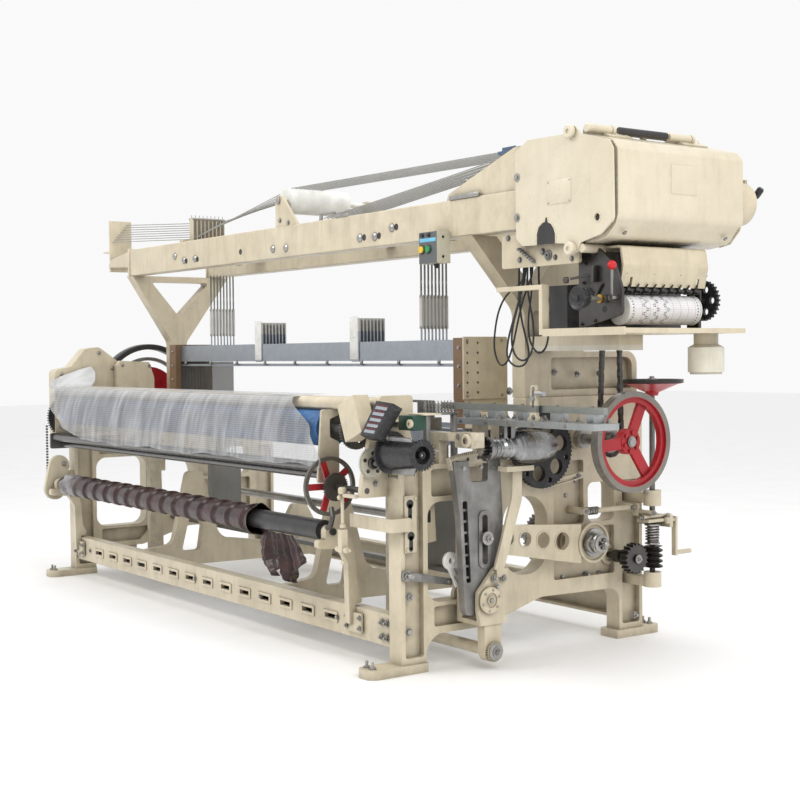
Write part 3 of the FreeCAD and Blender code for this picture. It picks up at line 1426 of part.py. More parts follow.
def dobby_housing():
    """The dobby's closed housing, its hinge pin and the tapered jack cover over the arch beams."""
    main = prism("y", [(dobby_left, dobby_low), (dobby_left, 1985, 30), (360, dobby_high, 30),
                       (dobby_left + 300, dobby_high), (640, 2008, 10), (762, 1974, 10), (762, 1700, 10),
                       (700, 1666, 10), (640, dobby_low)], 380, 1020)
    side = box(dobby_left, 636, dobby_front_y, 380, dobby_low, 1985)
    back = box(dobby_left, 636, 1020, dobby_back_y, dobby_low, 1985)
    boss = fuse(rod("y", dobby_back_y + 0.5, dobby_back_y + 112, 700, 1815, 84),
                rod("y", dobby_back_y + 110, dobby_back_y + 150, 700, 1815, 20),
                box(560, 700, dobby_back_y, dobby_back_y + 12, 1700, 1890),
                box(690, 710, dobby_back_y + 130, dobby_back_y + 142, 1800, 1912))
    lugs = [box(hinge_x - 10, hinge_x + 10, y, y + 16, dobby_high - 10, hinge_z) for y in (404, 694, 984)]
    pin = rod("y", 404, 1000, hinge_x, hinge_z, 8)
    jacks = prism("y", [(-190, beam_high), (dobby_left, beam_high), (dobby_left, 2036), (236, 2036, 20),
                        (-180, 1896, 10)], beam_front_y + 14, beam_rear_y + 50)
    plate = prism("y", [(160, 1572, 12), (600, 1572, 12), (600, 1670), (300, 1700), (160, 1700, 12)], 384, 396)
    entry = box(190, dobby_left + 1, 395, 480, 1596, 1664)
    return node("dobby_housing", fuse(main, side, back, pin, plate, entry, *lugs, boss, jacks))


def dobby_front_cover():
    """The flat front cover of the dobby, with its cable notch, hole and pivot bosses."""
    y1 = dobby_front_y
    y0 = y1 - panel_thick
    cover = new_body("dobby_front_cover")
    outline = [(dobby_left - 20, 2008, 20), (352, 2046, 20), (560, 2042, 20), (580, 2066, 14), (612, 2066, 14),
               (640, 2034, 20), (786, 1994, 20), (cover_right - 6, 1962, 12), (cover_right - 2, 1712, 30),
               (744, 1664, 30), (640, 1642, 10), (622, 1604, 20), (572, 1604, 20), (556, 1644, 10), (508, 1648),
               (500, 1684, 24), (410, 1684, 24), (402, 1648), (322, 1650, 16), (dobby_left - 16, 1680, 16)]
    pad(cover, "y", outline, y0, y1, [("o", 728, 1726, 14)])
    pad(cover, "y", ("o", 596, 2046, 17), y0 - 14, y0 + 1)
    pad(cover, "y", ("o", 597, 1622, 22), y0 - 16, y0 + 1)
    return node("dobby_front_cover", cover)


def dobby_main_cover():
    """The hinged right-hand cover of the dobby: an open shell with knuckles on the hinge pin."""
    wall = cover_wall
    y0, y1 = dobby_front_y + 14, dobby_back_y - 2
    outer = prism("y", [(640, 2036), (786, 1996, 24), (cover_right, 1962, 14), (cover_right, 1724, 46),
                        (748, 1652, 40), (640, 1640)], y0, y1)
    inner = prism("y", [(620, 2036 - wall), (783, 1989, 19), (cover_right - wall, 1957, 10),
                        (cover_right - wall, 1728, 41), (744, 1658, 36), (620, 1646)], y0 + wall, y1 - wall)
    knuckles = []
    for start, end in ((440, 560), (830, 960)):
        strap = prism("y", [(hinge_x, hinge_z + 13), (700, 2026), (694, 2014), (hinge_x + 4, hinge_z - 14)],
                      start, end)
        knuckles.append(fuse(rod("y", start, end, hinge_x, hinge_z, 15), strap))
    bore = rod("y", 430, 970, hinge_x, hinge_z, 8 + shaft_clear)
    return node("dobby_main_cover", cut(fuse(cut(outer, inner), *knuckles), bore))


def dobby_lower_cover():
    """The folded lower cover over the card cylinder."""
    sheet_metal = prism("y", [(560, 1630), (742, 1630, 14), (754, 1560, 20), (736, 1482), (728, 1482),
                              (745, 1558, 14), (734, 1622, 8), (560, 1622)], 456, 900)
    notches = [box(700, 780, y, y + 12, 1478, 1516) for y in (500, 850)]
    tabs = box(562, 600, 470, 886, 1630, dobby_low)
    return node("dobby_lower_cover", fuse(cut(sheet_metal, *notches), tabs))


def dobby_platform():
    """The stepped platform under the dobby, its arm from the beam stand, and the hanging oil bottle."""
    top = platform_z + platform_thick
    plate = box(430, 860, 360, 985, platform_z, top)
    lip = box(430, 860, 352, 360, platform_z - 6, top + 4)
    step = fuse(box(412, 430, 352, 384, platform_z, 1500), box(164, 412, 352, 384, 1482, 1500))
    arm = fuse(box(-10, 520, 660, 790, platform_z - 60, platform_z),
               box(470, 560, 700, 790, platform_z - 1, platform_z))
    bottle = fuse(rod("z", 1272, platform_z, 740, 902, 46), rod("z", 1166, 1260, 740, 902, 68),
                  taper("z", 1260, 1272, 740, 902, 68, 46), rod("z", 1158, 1166, 740, 902, 60))
    return node("dobby_platform", fuse(plate, lip, step, arm), bottle)


def dobby_mechanism():
    """The reading mechanism's dark plate, the box behind it and the end bearing of the card cylinder."""
    top = platform_z + platform_thick
    plate = cut(prism("y", [(552, top, 4), (776, top + 50, 20), (776, 1470, 20), (740, 1560, 20), (620, dobby_low),
                            (552, dobby_low)], 425, 437),
                rod("y", 420, 440, card_x, wheel_z, 9 + shaft_clear),
                rod("y", 420, 440, card_x, card_z, 12 + shaft_clear))
    case = cut(fuse(box(440, 606, 470, 640, top, 1500), box(440, 540, 640, 980, top, dobby_low)),
               rod("x", 430, 521, chain_top_y, chain_top_z, 14 + shaft_clear))
    bearing = cut(box(660, 720, 884, 898, top, 1476), rod("y", 880, 900, card_x, wheel_z, 10 + shaft_clear),
                  rod("y", 880, 900, card_x, card_z, 12 + shaft_clear))
    reader = fuse(rod("y", 437, 884, 728, 1470, 6), box(722, 734, 876, 884, 1440, 1476))
    return node("dobby_mechanism", plate, case, fuse(bearing, reader))


def card_cylinder():
    """The card cylinder that reads the pattern card wrapped round it."""
    return node("card_cylinder", fuse(rod("y", card_front_y, card_back_y, card_x, card_z, card_r),
                                      rod("y", 426, 896, card_x, card_z, 12)))


def card_wheel():
    """The toothed wheel at the back of the card cylinder."""
    wheel = toothed(26, 69, 77, 940, 954, "y", (num(card_x), num(wheel_z)))
    holes = [many_sided("y", 930, 970, (num(card_x) + 44 * math.cos(math.radians(72 * i)),
                                        num(wheel_z) + 44 * math.sin(math.radians(72 * i))), 13, 16)
             for i in range(5)]
    return node("card_wheel", fuse(feature(wheel.cut(Part.makeCompound(holes))),
                                   rod("y", 886, 960, card_x, wheel_z, 10)))


def hand_knob():
    """The scalloped hand knob that turns the reading mechanism, with its collar."""
    grip = toothed(9, 24, 31, 290, 326, "y", (num(card_x), num(wheel_z)))
    return node("hand_knob", fuse(feature(grip), rod("y", 284, 436, card_x, wheel_z, 9),
                                  rod("y", 396, 410, card_x, wheel_z, 16)))


def ball_lever():
    """The ball lever that lifts the feelers off the card."""
    radius, steps = 17, 7
    turns = [math.pi * step / steps for step in range(steps + 1)]
    arc = [Vector(750 + radius * math.sin(turn), 402, 1556 - radius * math.cos(turn)) for turn in turns]
    ball = Part.Face(Part.makePolygon(arc + [arc[0]])).revolve(Vector(750, 402, 1556), Vector(0, 0, 1), 360)
    return node("ball_lever", fuse(rod("y", 392, 424.7, 750, 1440, 12), rod("z", 1440, 1545, 750, 402, 5, 12),
                                   feature(ball)))


dobby_housing()
dobby_front_cover()
dobby_main_cover()
dobby_lower_cover()
dobby_platform()
dobby_mechanism()
card_cylinder()
card_wheel()
hand_knob()
ball_lever()


# ---------------------------------------------------------------- control box and harness

def control_box():
    """The push-button box under the front beam."""
    case = box(-270, -150, 300, beam_front_y, 1614, 1742)
    bores = [rod("y", 299, 314, x, 1672, 14 + seat_gap) for x in (-248, -204)]
    return node("control_box", cut(case, *bores))


def push_button(name, x):
    """A round push button that slides into the control box."""
    return node(name, rod("y", 290, 309, x, 1672, 14))


control_box()
push_button("stop_button", -248)
push_button("start_button", -204)


def harness_frame():
    """The cord bearers: the roller's stands, the left comb, the comb at the dobby and the left end comb."""
    roller_x, roller_z = cord_x, cord_z
    stands = [cut(prism("y", [(roller_x - 30, beam_high), (roller_x + 170, beam_high),
                              (roller_x + 26, roller_z + 22, 16), (roller_x - 30, roller_z + 22, 16)], y, y + 16),
                  rod("y", y - 1, y + 17, roller_x, roller_z, 12 + shaft_clear))
              for y in (beam_front_y + 6, beam_rear_y + 6)]
    comb_x = left_face + 680
    comb = fuse(box(comb_x, comb_x + 40, beam_front_y + 10, beam_rear_y + 40, beam_high, 1884),
                *[box(comb_x, comb_x + 40, 442 + 24 * i, 446 + 24 * i, 1883, 2006)
                  for i in range(HEALD_COUNT + 1)])
    slope = 140 / 416
    pillar = prism("y", [(110, 1896 + 290 * slope), (160, 1896 + 340 * slope), (160, 2026), (110, 2026)],
                   440, 620)
    block = box(96, 176, 420, 640, 2025, 2039)
    block_teeth = [box(96, 176, 442 + 24 * i, 446 + 24 * i, 2038, 2056) for i in range(HEALD_COUNT + 1)]
    end_x = left_face - 224
    end_comb = fuse(box(end_x - 12, end_x, 372, 512, 1756, 2062), rod("y", 378, 500, end_x - 14, 1790, 22, 12),
                    box(end_x - 96, end_x - 11, 372, 420, 1872, 1880),
                    prism("y", [(end_x - 4, 1782), (left_face + 45, 1772), (left_face + 45, 1862),
                                (end_x - 4, 1826)], 372, 396))
    hoists = []
    for x in (hanger_left, hanger_right):
        hoists.append(fuse(box(x - 60, x + 60, beam_front_y + beam_thick, beam_rear_y, 1800, 1816),
                           box(x - 20, x + 20, 506, 516, 1750, 1801), box(x - 20, x + 20, 736, 746, 1750, 1801),
                           rod("y", 510, 740, x, 1775, 16)))
    return node("harness_frame", *stands, comb, fuse(block, pillar, *block_teeth), end_comb, *hoists)


def cord_roller():
    """The white roller that lifts the harness cords over the arch."""
    return node("cord_roller", fuse(rod("y", 416, 756, cord_x, cord_z, cord_roller_r),
                                    rod("y", beam_front_y + 7, beam_rear_y + 21, cord_x, cord_z, 12)))


def tube(points, radius):
    """A six-sided tube with straight runs and, at each inner point, an arc tangent to both runs."""
    points = [Vector(*[num(value) for value in point]) for point in points]
    runs = [(points[i + 1] - points[i]).Length for i in range(len(points) - 1)]
    edges = []
    at = points[0]
    tightest = float("inf")
    for i in range(1, len(points) - 1):
        to_before = (points[i - 1] - points[i]).normalize()
        to_after = (points[i + 1] - points[i]).normalize()
        turn = math.pi - to_before.getAngle(to_after)
        arc_radius = 0.45 * min(runs[i - 1], runs[i]) / math.tan(turn / 2)
        tightest = min(tightest, arc_radius)
        start, middle, end = corner_arc(points[i - 1], points[i], points[i + 1], arc_radius)
        edges.append(Part.LineSegment(at, start).toShape())
        edges.append(Part.Arc(start, middle, end).toShape())
        at = end
    edges.append(Part.LineSegment(at, points[-1]).toShape())
    path = Part.Wire(edges)
    heading = (points[1] - points[0]).normalize()
    across = heading.cross(Vector(0, 1, 0)).normalize()
    upright = heading.cross(across)
    sides = 6
    corners = [points[0] + (across * math.cos(2 * math.pi * side / sides)
                            + upright * math.sin(2 * math.pi * side / sides)) * radius for side in range(sides)]
    section = Part.makePolygon(corners + [corners[0]])
    solid = path.makePipeShell([section], True, False)
    expected = sides / 2 * math.sin(2 * math.pi / sides) * radius ** 2 * path.Length
    print(f"tube: length {path.Length:.0f} mm, tightest radius {tightest:.0f} mm, "
          f"volume {solid.Volume / expected:.4f} of section times length")
    return solid


def harness_cords():
    """The taut cords from the dobby's comb over the roller and through the left comb to the left end comb."""
    centre = Vector(num(cord_x), 0, num(cord_z))
    reach = num(cord_roller_r) + 0.2 + CORD_R
    cords = []
    for index in range(HEALD_COUNT):
        start = Vector(136, 0, 2039.5 + CORD_R)
        comb = Vector(num(left_face) + 700, 0, 1890 + 14 * index)
        end = Vector(num(left_face) - 223.5, -64 - 11 * index, 1936 + 15 * index)
        turns = []
        for point, side in ((start, 1), (comb, -1)):
            line = point - centre
            turns.append((math.atan2(line.z, line.x) + side * math.acos(reach / line.Length)) % (2 * math.pi))
        steps = 5
        path = [start]
        for step in range(steps + 1):
            turn = turns[0] + (turns[1] - turns[0]) * step / steps
            path.append(centre + Vector(math.cos(turn), 0, math.sin(turn)) * reach)
        path += [*corner_arc(path[-1], comb, end, 400), end]
        sections = []
        for place_index, point in enumerate(path):
            before = path[max(place_index - 1, 0)]
            after = path[min(place_index + 1, len(path) - 1)]
            across = (after - before).normalize().cross(Vector(0, 1, 0)).normalize()
            side_on = (after - before).normalize().cross(across)
            sections.append([point + (across * math.cos(turn) + side_on * math.sin(turn)) * CORD_R
                             for turn in (0, 1.2566, 2.5133, 3.7699, 5.0265)])
        cord = faceted(sections)
        cord.translate(Vector(0, 456 + 24 * index, 0))
        cords.append(feature(cord))
    return node("harness_cords", *cords)


CABLE_ROUTES = (
    ((215, 425, 1596), (215, 425, 1560), (196, 438, 1494), (188, 452, 1400), (206, 462, 1310), (228, 466, 1245),
     (205, 462, 1195), (150, 452, 1190), (104, 450, 1228), (108, 456, 1300), (138, 462, 1385), (178, 460, 1466),
     (226, 450, 1544), (226, 450, 1596)),
    ((205, 464, 1596), (205, 464, 1550), (150, 480, 1512), (60, 490, 1482), (2, 496, 1420), (-28, 500, 1334),
     (-34, 500, 1254), (8, 496, 1190), (64, 490, 1206), (104, 484, 1270), (134, 480, 1350), (170, 476, 1440),
     (214, 466, 1500), (252, 462, 1548), (252, 462, 1596)),
    ((258, 412, 1596), (258, 412, 1556), (250, 406, 1492), (232, 402, 1424), (204, 402, 1360), (190, 402, 1292),
     (212, 402, 1232), (262, 402, 1210), (310, 402, 1236), (326, 402, 1300), (318, 404, 1368), (296, 408, 1434),
     (276, 412, 1500), (280, 412, 1556), (280, 412, 1596)),
    ((228, 472, 1596), (228, 472, 1552), (208, 496, 1486), (178, 508, 1420), (164, 512, 1350), (176, 512, 1284),
     (220, 512, 1240), (268, 510, 1254), (296, 504, 1306), (300, 496, 1372), (284, 486, 1440), (270, 478, 1504),
     (276, 472, 1552), (276, 472, 1596)),
)


def cable_loops():
    """The black cables that leave the dobby, hang in loops beside the platform and go back in."""
    return node("cable_loops", *[feature(tube(route, 4)) for route in CABLE_ROUTES])


harness_frame()
cord_roller()
harness_cords()
cable_loops()


# ---------------------------------------------------------------- checks and files

doc.recompute()

failed = [f"{thing.Label}: {state}" for thing in doc.Objects for state in thing.State
          if state in ("Invalid", "Error")]
for part in NODES:
    if part.Shape.isNull() or not part.Shape.isValid() or not part.Shape.Solids:
        failed.append(f"{part.Label}: no valid solid")
if failed:
    raise RuntimeError("not built: " + "; ".join(failed))

os.makedirs("parts", exist_ok=True)
for part in NODES:
    part.Shape.exportStep(f"parts/{part.Label}.step")
whole = Part.makeCompound([part.Shape for part in NODES]).BoundBox
print(f"{len(NODES)} sub-parts, x {whole.XMin:.1f} to {whole.XMax:.1f}, y {whole.YMin:.1f} to {whole.YMax:.1f}, "
      f"z {whole.ZMin:.1f} to {whole.ZMax:.1f}")
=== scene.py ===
"""The looks of the power loom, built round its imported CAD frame.

Lengths in the tables and calls are the loom's own millimetres, as a drawing would give them: x from the outer
face of the right side frame (negative to the left), y from the front posts' face to the back, z from the floor.
`at()` turns them into the frame's metres.
"""
import json
import math

import bmesh
import bpy
from mathutils import Matrix, Vector, noise


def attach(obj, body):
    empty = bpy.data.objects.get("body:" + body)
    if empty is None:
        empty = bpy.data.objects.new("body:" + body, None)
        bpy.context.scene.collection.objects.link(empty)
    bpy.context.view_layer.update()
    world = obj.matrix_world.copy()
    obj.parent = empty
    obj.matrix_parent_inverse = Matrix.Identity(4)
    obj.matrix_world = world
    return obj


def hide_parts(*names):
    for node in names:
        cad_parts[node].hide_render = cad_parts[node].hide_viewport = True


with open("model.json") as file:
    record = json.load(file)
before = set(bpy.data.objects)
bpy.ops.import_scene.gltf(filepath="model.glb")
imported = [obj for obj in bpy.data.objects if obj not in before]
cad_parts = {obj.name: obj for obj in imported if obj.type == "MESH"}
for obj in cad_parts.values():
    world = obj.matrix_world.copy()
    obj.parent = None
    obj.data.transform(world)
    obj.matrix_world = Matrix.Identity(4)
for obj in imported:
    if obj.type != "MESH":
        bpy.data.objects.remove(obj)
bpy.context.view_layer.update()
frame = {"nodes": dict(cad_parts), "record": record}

MM = 0.001
RIGHT_FACE_X = 1.365   # where the loom's x = 0 and y = 0 lie in the frame, in metres
FRONT_FACE_Y = -0.616
SHARP_ANGLE = math.radians(34)

RIGHT, LEFT, FRONT, BACK, UP, DOWN = (1, 0, 0), (-1, 0, 0), (0, -1, 0), (0, 1, 0), (0, 0, 1), (0, 0, -1)

# Faces of the CAD frame.
WEB_FACE = -28.0
FRAME_INNER = -80.0
LEFT_FACE = -3270.0
LEFT_WEB_FACE = LEFT_FACE - WEB_FACE
LEFT_INNER = -3190.0
BEAM_FRONT_Y = 370.0
BEAM_TOP = 1870.0
BEAM_LOW = 1718.0

# Centre lines of the CAD frame: those along x as (y, z).
MAIN_SHAFT = (915, 882)
CRANK_PIN = (938.0, 446.0)
SLOT_BOLT = (315, 522)
LEVER_PIVOT = (313, 281)
HANGER = (340, 74)
PULLEY = (682, 845)
WORM_WHEEL = (1125, 367)
SPOOL = (-48, 868)
RATCHET = (-88, 826)
TAKE_UP_WHEEL = (-100, 717)
# Along y as (x, z).
GEARBOX_AXIS = (196, 876)
CARD_AXIS = (690, 1400)
COVER_HINGE = (664, 2052)
# Along z as (x, y).
LET_OFF_SHAFT = (132, 1238)


def at(x, y, z):
    """A point given in the loom's millimetres, in the frame's metres."""
    return Vector((x * MM + RIGHT_FACE_X, y * MM + FRONT_FACE_Y, z * MM))


def spots(count, radius, centre, phase=0.0):
    """Places evenly spaced round a centre, each a pair of coordinates."""
    return [(centre[0] + radius * math.cos(turn), centre[1] + radius * math.sin(turn))
            for turn in (math.tau * step / count + phase for step in range(count))]


# ------------------------------------------------------------------------------------------ materials

class Nodes:
    """A new material's node tree, with a Principled shader already linked to its output."""

    def __init__(self, name, rough, metal=0.0):
        self.material = bpy.data.materials.new(name)
        self.material.use_nodes = True
        self.tree = self.material.node_tree
        self.shader = self.tree.nodes["Principled BSDF"]
        self.set("Roughness", rough)
        self.set("Metallic", metal)
        self.position = self.node("ShaderNodeTexCoord").outputs["Object"]
        self.split = None

    def node(self, kind, **settings):
        made = self.tree.nodes.new(kind)
        for key, value in settings.items():
            setattr(made, key, value)
        return made

    def link(self, a, b):
        self.tree.links.new(a, b)

    def set(self, socket, value):
        self.shader.inputs[socket].default_value = value

    def scaled(self, scale, spin=(0, 0, 0)):
        """The object's coordinates, stretched by scale along each axis."""
        made = self.node("ShaderNodeMapping")
        made.inputs["Scale"].default_value = scale
        made.inputs["Rotation"].default_value = spin
        self.link(self.position, made.inputs["Vector"])
        return made.outputs["Vector"]

    def noise(self, scale, detail=4.0, rough=0.55, vector=None):
        made = self.node("ShaderNodeTexNoise")
        made.inputs["Scale"].default_value = scale
        made.inputs["Detail"].default_value = detail
        made.inputs["Roughness"].default_value = rough
        self.link(vector or self.position, made.inputs["Vector"])
        return made.outputs["Fac"]

    def cells(self, scale):
        made = self.node("ShaderNodeTexVoronoi")
        made.inputs["Scale"].default_value = scale
        self.link(self.position, made.inputs["Vector"])
        return made.outputs["Distance"]

    def waves(self, scale, direction="X", distortion=0.0):
        made = self.node("ShaderNodeTexWave", bands_direction=direction)
        made.inputs["Scale"].default_value = scale
        made.inputs["Distortion"].default_value = distortion
        self.link(self.position, made.inputs["Vector"])
        return made.outputs["Fac"]

    def ramp(self, source, *stops):
        """Colours or greys along a source: each stop is (place, grey or colour)."""
        made = self.node("ShaderNodeValToRGB")
        elements = made.color_ramp.elements
        while len(elements) < len(stops):
            elements.new(0.5)
        for element, (place, value) in zip(elements, stops):
            element.position = place
            element.color = (value, value, value, 1) if isinstance(value, float) else (*value, 1)
        self.link(source, made.inputs["Fac"])
        return made.outputs["Color"]

    def rise(self, source, low, high):
        """0 up to low, 1 from high on."""
        return self.ramp(source, (low, 0.0), (high, 1.0))

    def fall(self, source, low, high):
        """1 up to low, 0 from high on."""
        return self.ramp(source, (low, 1.0), (high, 0.0))

    def mix(self, share, low, high, blend="MIX"):
        """low where share is 0 and high where it is 1; either may be a colour or an output."""
        made = self.node("ShaderNodeMix", data_type="RGBA", blend_type=blend)
        colours = [socket for socket in made.inputs if socket.type == "RGBA"]
        for slot, value in zip((made.inputs["Factor"], *colours), (share, low, high)):
            if isinstance(value, tuple):
                slot.default_value = (*value, 1)
            elif isinstance(value, float):
                slot.default_value = value
            else:
                self.link(value, slot)
        return next(socket for socket in made.outputs if socket.type == "RGBA")

    def shaded(self, base, tint):
        """The base colour multiplied by a tint."""
        return self.mix(1.0, base, tint, "MULTIPLY")

    def stained(self, base, colour, mask, share):
        """The base colour, with a share of another where the mask is 1."""
        return self.mix(self.times(mask, share), base, colour)

    def maths(self, operation, a, b=0.0):
        made = self.node("ShaderNodeMath", operation=operation)
        for slot, value in zip(made.inputs, (a, b)):
            if isinstance(value, (int, float)):
                slot.default_value = value
            else:
                self.link(value, slot)
        return made.outputs["Value"]

    def times(self, a, b):
        return self.maths("MULTIPLY", a, b)

    def minus(self, a, b):
        return self.maths("SUBTRACT", a, b)

    def along(self, axis):
        """How far along an axis a point lies, in the loom's millimetres."""
        if self.split is None:
            self.split = self.node("ShaderNodeSeparateXYZ")
            self.link(self.position, self.split.inputs["Vector"])
        start = {"X": RIGHT_FACE_X, "Y": FRONT_FACE_Y, "Z": 0.0}[axis]
        return self.maths("DIVIDE", self.minus(self.split.outputs[axis], start), MM)

    def reach(self, axes, centre):
        """How far a point lies from a line across the two axes, in millimetres."""
        first, second = (self.minus(self.along(axis), c) for axis, c in zip(axes, centre))
        squares = self.maths("ADD", self.times(first, first), self.times(second, second))
        return self.maths("SQRT", squares)

    def between(self, value, low, high):
        """1 where the value lies between low and high, and 0 elsewhere."""
        return self.times(self.maths("GREATER_THAN", value, low), self.maths("LESS_THAN", value, high))

    def zoned(self, base, metal, zones):
        """The colour and the metal share, changed within each zone of (mask, colour, metal share)."""
        share = float(metal)
        for mask, colour, bare in zones:
            inside = mask(self)
            base = self.mix(inside, base, colour)
            kept = self.times(share, self.minus(1.0, inside))
            share = self.maths("ADD", kept, self.times(inside, float(bare)))
        return base, (share if zones else None)

    def crevice(self, reach):
        """Painted shade: light where surfaces are open, dark where they meet."""
        made = self.node("ShaderNodeAmbientOcclusion", samples=6)
        made.inputs["Distance"].default_value = reach
        return made.outputs["AO"]

    def bump(self, height, strength, distance, after=None):
        """A raised surface, on top of the one after if it is given."""
        made = self.node("ShaderNodeBump")
        made.inputs["Strength"].default_value = strength
        made.inputs["Distance"].default_value = distance
        self.link(height, made.inputs["Height"])
        if after:
            self.link(after, made.inputs["Normal"])
        return made.outputs["Normal"]

    def finish(self, colour, rough=None, normal=None, **others):
        """The material, once the sources given are linked to its shader."""
        links = {"Base Color": colour, "Roughness": rough, "Normal": normal, **others}
        for socket, source in links.items():
            if source is not None:
                self.link(source, self.shader.inputs[socket])
        return self.material


def slab(axis, low, high):
    """The part of a piece between two distances along an axis."""
    return lambda n: n.between(n.along(axis), low, high)


def disc(axes, centre, low, high):
    """The part of a piece between two radii from a line across the two axes."""
    return lambda n: n.between(n.reach(axes, centre), low, high)


def both(*zones):
    """The part of a piece that lies in all the zones."""
    def mask(n):
        inside = zones[0](n)
        for zone in zones[1:]:
            inside = n.times(inside, zone(n))
        return inside
    return mask


def enamel(name, colour, grime_and_shade, rough=0.34, soil_and_shade=0.5, zones=()):
    """Brushed and sprayed machine enamel: orange peel, soft stains, painted shade in the grime colour in the
    corners, a few chips.
    """
    n = Nodes(name, rough)
    base, metal = n.zoned(colour, 0.0, zones)
    wide = n.rise(n.noise(1.7, 3.0), 0.36, 0.68)
    fine = n.rise(n.noise(9.0, 6.0, 0.62), 0.42, 0.72)
    runs = n.rise(n.noise(1.0, 5.0, 0.6, n.scaled((26, 26, 3.2))), 0.5, 0.8)
    base = n.shaded(base, n.mix(wide, (1.03, 1.03, 1.03), (0.92, 0.905, 0.87)))
    base = n.stained(base, grime_and_shade, fine, 0.26 * soil_and_shade)
    base = n.stained(base, grime_and_shade, runs, 0.26 * soil_and_shade)
    # Painted shade: the grime colour laid where surfaces meet, broken up by noise.
    corner = n.fall(n.crevice(0.06), 0.2, 0.96)
    patchy_corner_shade = n.times(corner, n.ramp(n.noise(24.0, 4.0), (0.3, 0.5), (0.7, 1.0)))
    base = n.stained(base, grime_and_shade, patchy_corner_shade, min(1.0, 1.1 * soil_and_shade))
    specks = n.fall(n.cells(85.0), 0.05, 0.085)
    chips = n.times(specks, n.rise(n.noise(6.0, 2.0), 0.5, 0.6))
    base = n.stained(base, (0.13, 0.105, 0.08), chips, 0.8)
    gloss = n.ramp(n.noise(14.0, 4.0), (0.3, rough - 0.07), (0.75, rough + 0.16))
    peel = n.bump(n.noise(260.0, 2.0), 0.1, 0.0006)
    cast = n.bump(n.noise(34.0, 3.0), 0.12, 0.0015, peel)
    return n.finish(base, gloss, cast, Metallic=metal)


GRAIN = (8, 220, 220)    # tool marks run along x


def machined(name, colour, dark, rough=0.3, metal=0.95, grain=GRAIN, soil_and_shade=0.5, zones=()):
    """Turned, milled or drawn metal with its tool grain, oil film, dull patches and painted shade in its
    corners.
    """
    n = Nodes(name, rough, metal)
    streak = n.noise(6.0, 5.0, 0.6, n.scaled(grain))
    patch = n.rise(n.noise(16.0, 5.0, 0.65), 0.4, 0.75)
    base, share = n.zoned(colour, metal, zones)
    base = n.mix(n.rise(streak, 0.35, 0.7), base, n.shaded(base, (0.8, 0.8, 0.8)))
    base = n.stained(base, dark, patch, 0.55 * soil_and_shade)
    # Painted shade: the dark colour laid where surfaces meet.
    corner = n.fall(n.crevice(0.025), 0.2, 0.85)
    base = n.stained(base, dark, corner, min(1.0, 1.1 * soil_and_shade))
    gloss = n.ramp(streak, (0.3, rough - 0.08), (0.75, rough + 0.14))
    return n.finish(base, gloss, n.bump(streak, 0.08, 0.0005), Metallic=share)


def cast_metal(name, colour, dark, rough=0.5, metal=0.8, grit=180.0, zones=()):
    """A casting left bare: sand texture, dark stains, and painted shade in the corners."""
    n = Nodes(name, rough, metal)
    base, share = n.zoned(colour, metal, zones)
    patch = n.rise(n.noise(12.0, 5.0, 0.6), 0.35, 0.7)
    base = n.stained(base, dark, patch, 0.55)
    stain = n.ramp(n.noise(3.0, 4.0, 0.6, n.scaled((3, 3, 1))), (0.5, 0.0), (0.7, 0.5))
    base = n.mix(stain, base, dark)
    # Painted shade: a deeper copy of the dark colour laid where surfaces meet.
    corner = n.fall(n.crevice(0.03), 0.2, 0.88)
    base = n.stained(base, tuple(c * 0.35 for c in dark), corner, 0.75)
    gloss = n.ramp(n.noise(30.0, 4.0), (0.3, rough - 0.1), (0.7, rough + 0.15))
    return n.finish(base, gloss, n.bump(n.noise(grit, 4.0), 0.22, 0.0008), Metallic=share)


def moulded(name, colour, rough=0.42, grit=420.0, dust=0.12, zones=()):
    """Injection-moulded plastic with a spark-eroded grain and a little dust."""
    n = Nodes(name, rough)
    base, share = n.zoned(colour, 0.0, zones)
    lighter = n.shaded(base, (1.25, 1.25, 1.25))
    base = n.mix(n.rise(n.noise(18.0, 4.0), 0.35, 0.7), base, lighter)
    dusty = n.rise(n.noise(60.0, 3.0), 0.55, 0.8)
    base = n.stained(base, (0.42, 0.4, 0.36), dusty, dust)
    gloss = n.ramp(n.noise(40.0, 3.0), (0.3, rough - 0.06), (0.7, rough + 0.1))
    return n.finish(base, gloss, n.bump(n.noise(grit, 2.0), 0.14, 0.0004), Metallic=share)


def rubber_cover(name, colour, zones=()):
    """The take-up roller's rough blue covering: a spiral-laid tape of grained rubber."""
    n = Nodes(name, 0.55)
    base, share = n.zoned(colour, 0.0, zones)
    patch = n.rise(n.noise(9.0, 5.0), 0.4, 0.7)
    base = n.mix(patch, base, n.shaded(base, (0.6, 0.6, 0.6)))
    worn = n.rise(n.noise(70.0, 3.0), 0.5, 0.8)
    base = n.stained(base, (0.3, 0.38, 0.46), worn, 0.25)
    # Painted shade: near black laid where surfaces meet.
    corner = n.fall(n.crevice(0.03), 0.2, 0.85)
    base = n.stained(base, (0.02, 0.025, 0.03), corner, 0.6)
    seams = n.waves(9.0, distortion=0.4)
    grit = n.bump(n.cells(900.0), 0.35, 0.0006)
    return n.finish(base, None, n.bump(n.rise(seams, 0.0, 0.05), 0.3, 0.001, grit), Metallic=share)


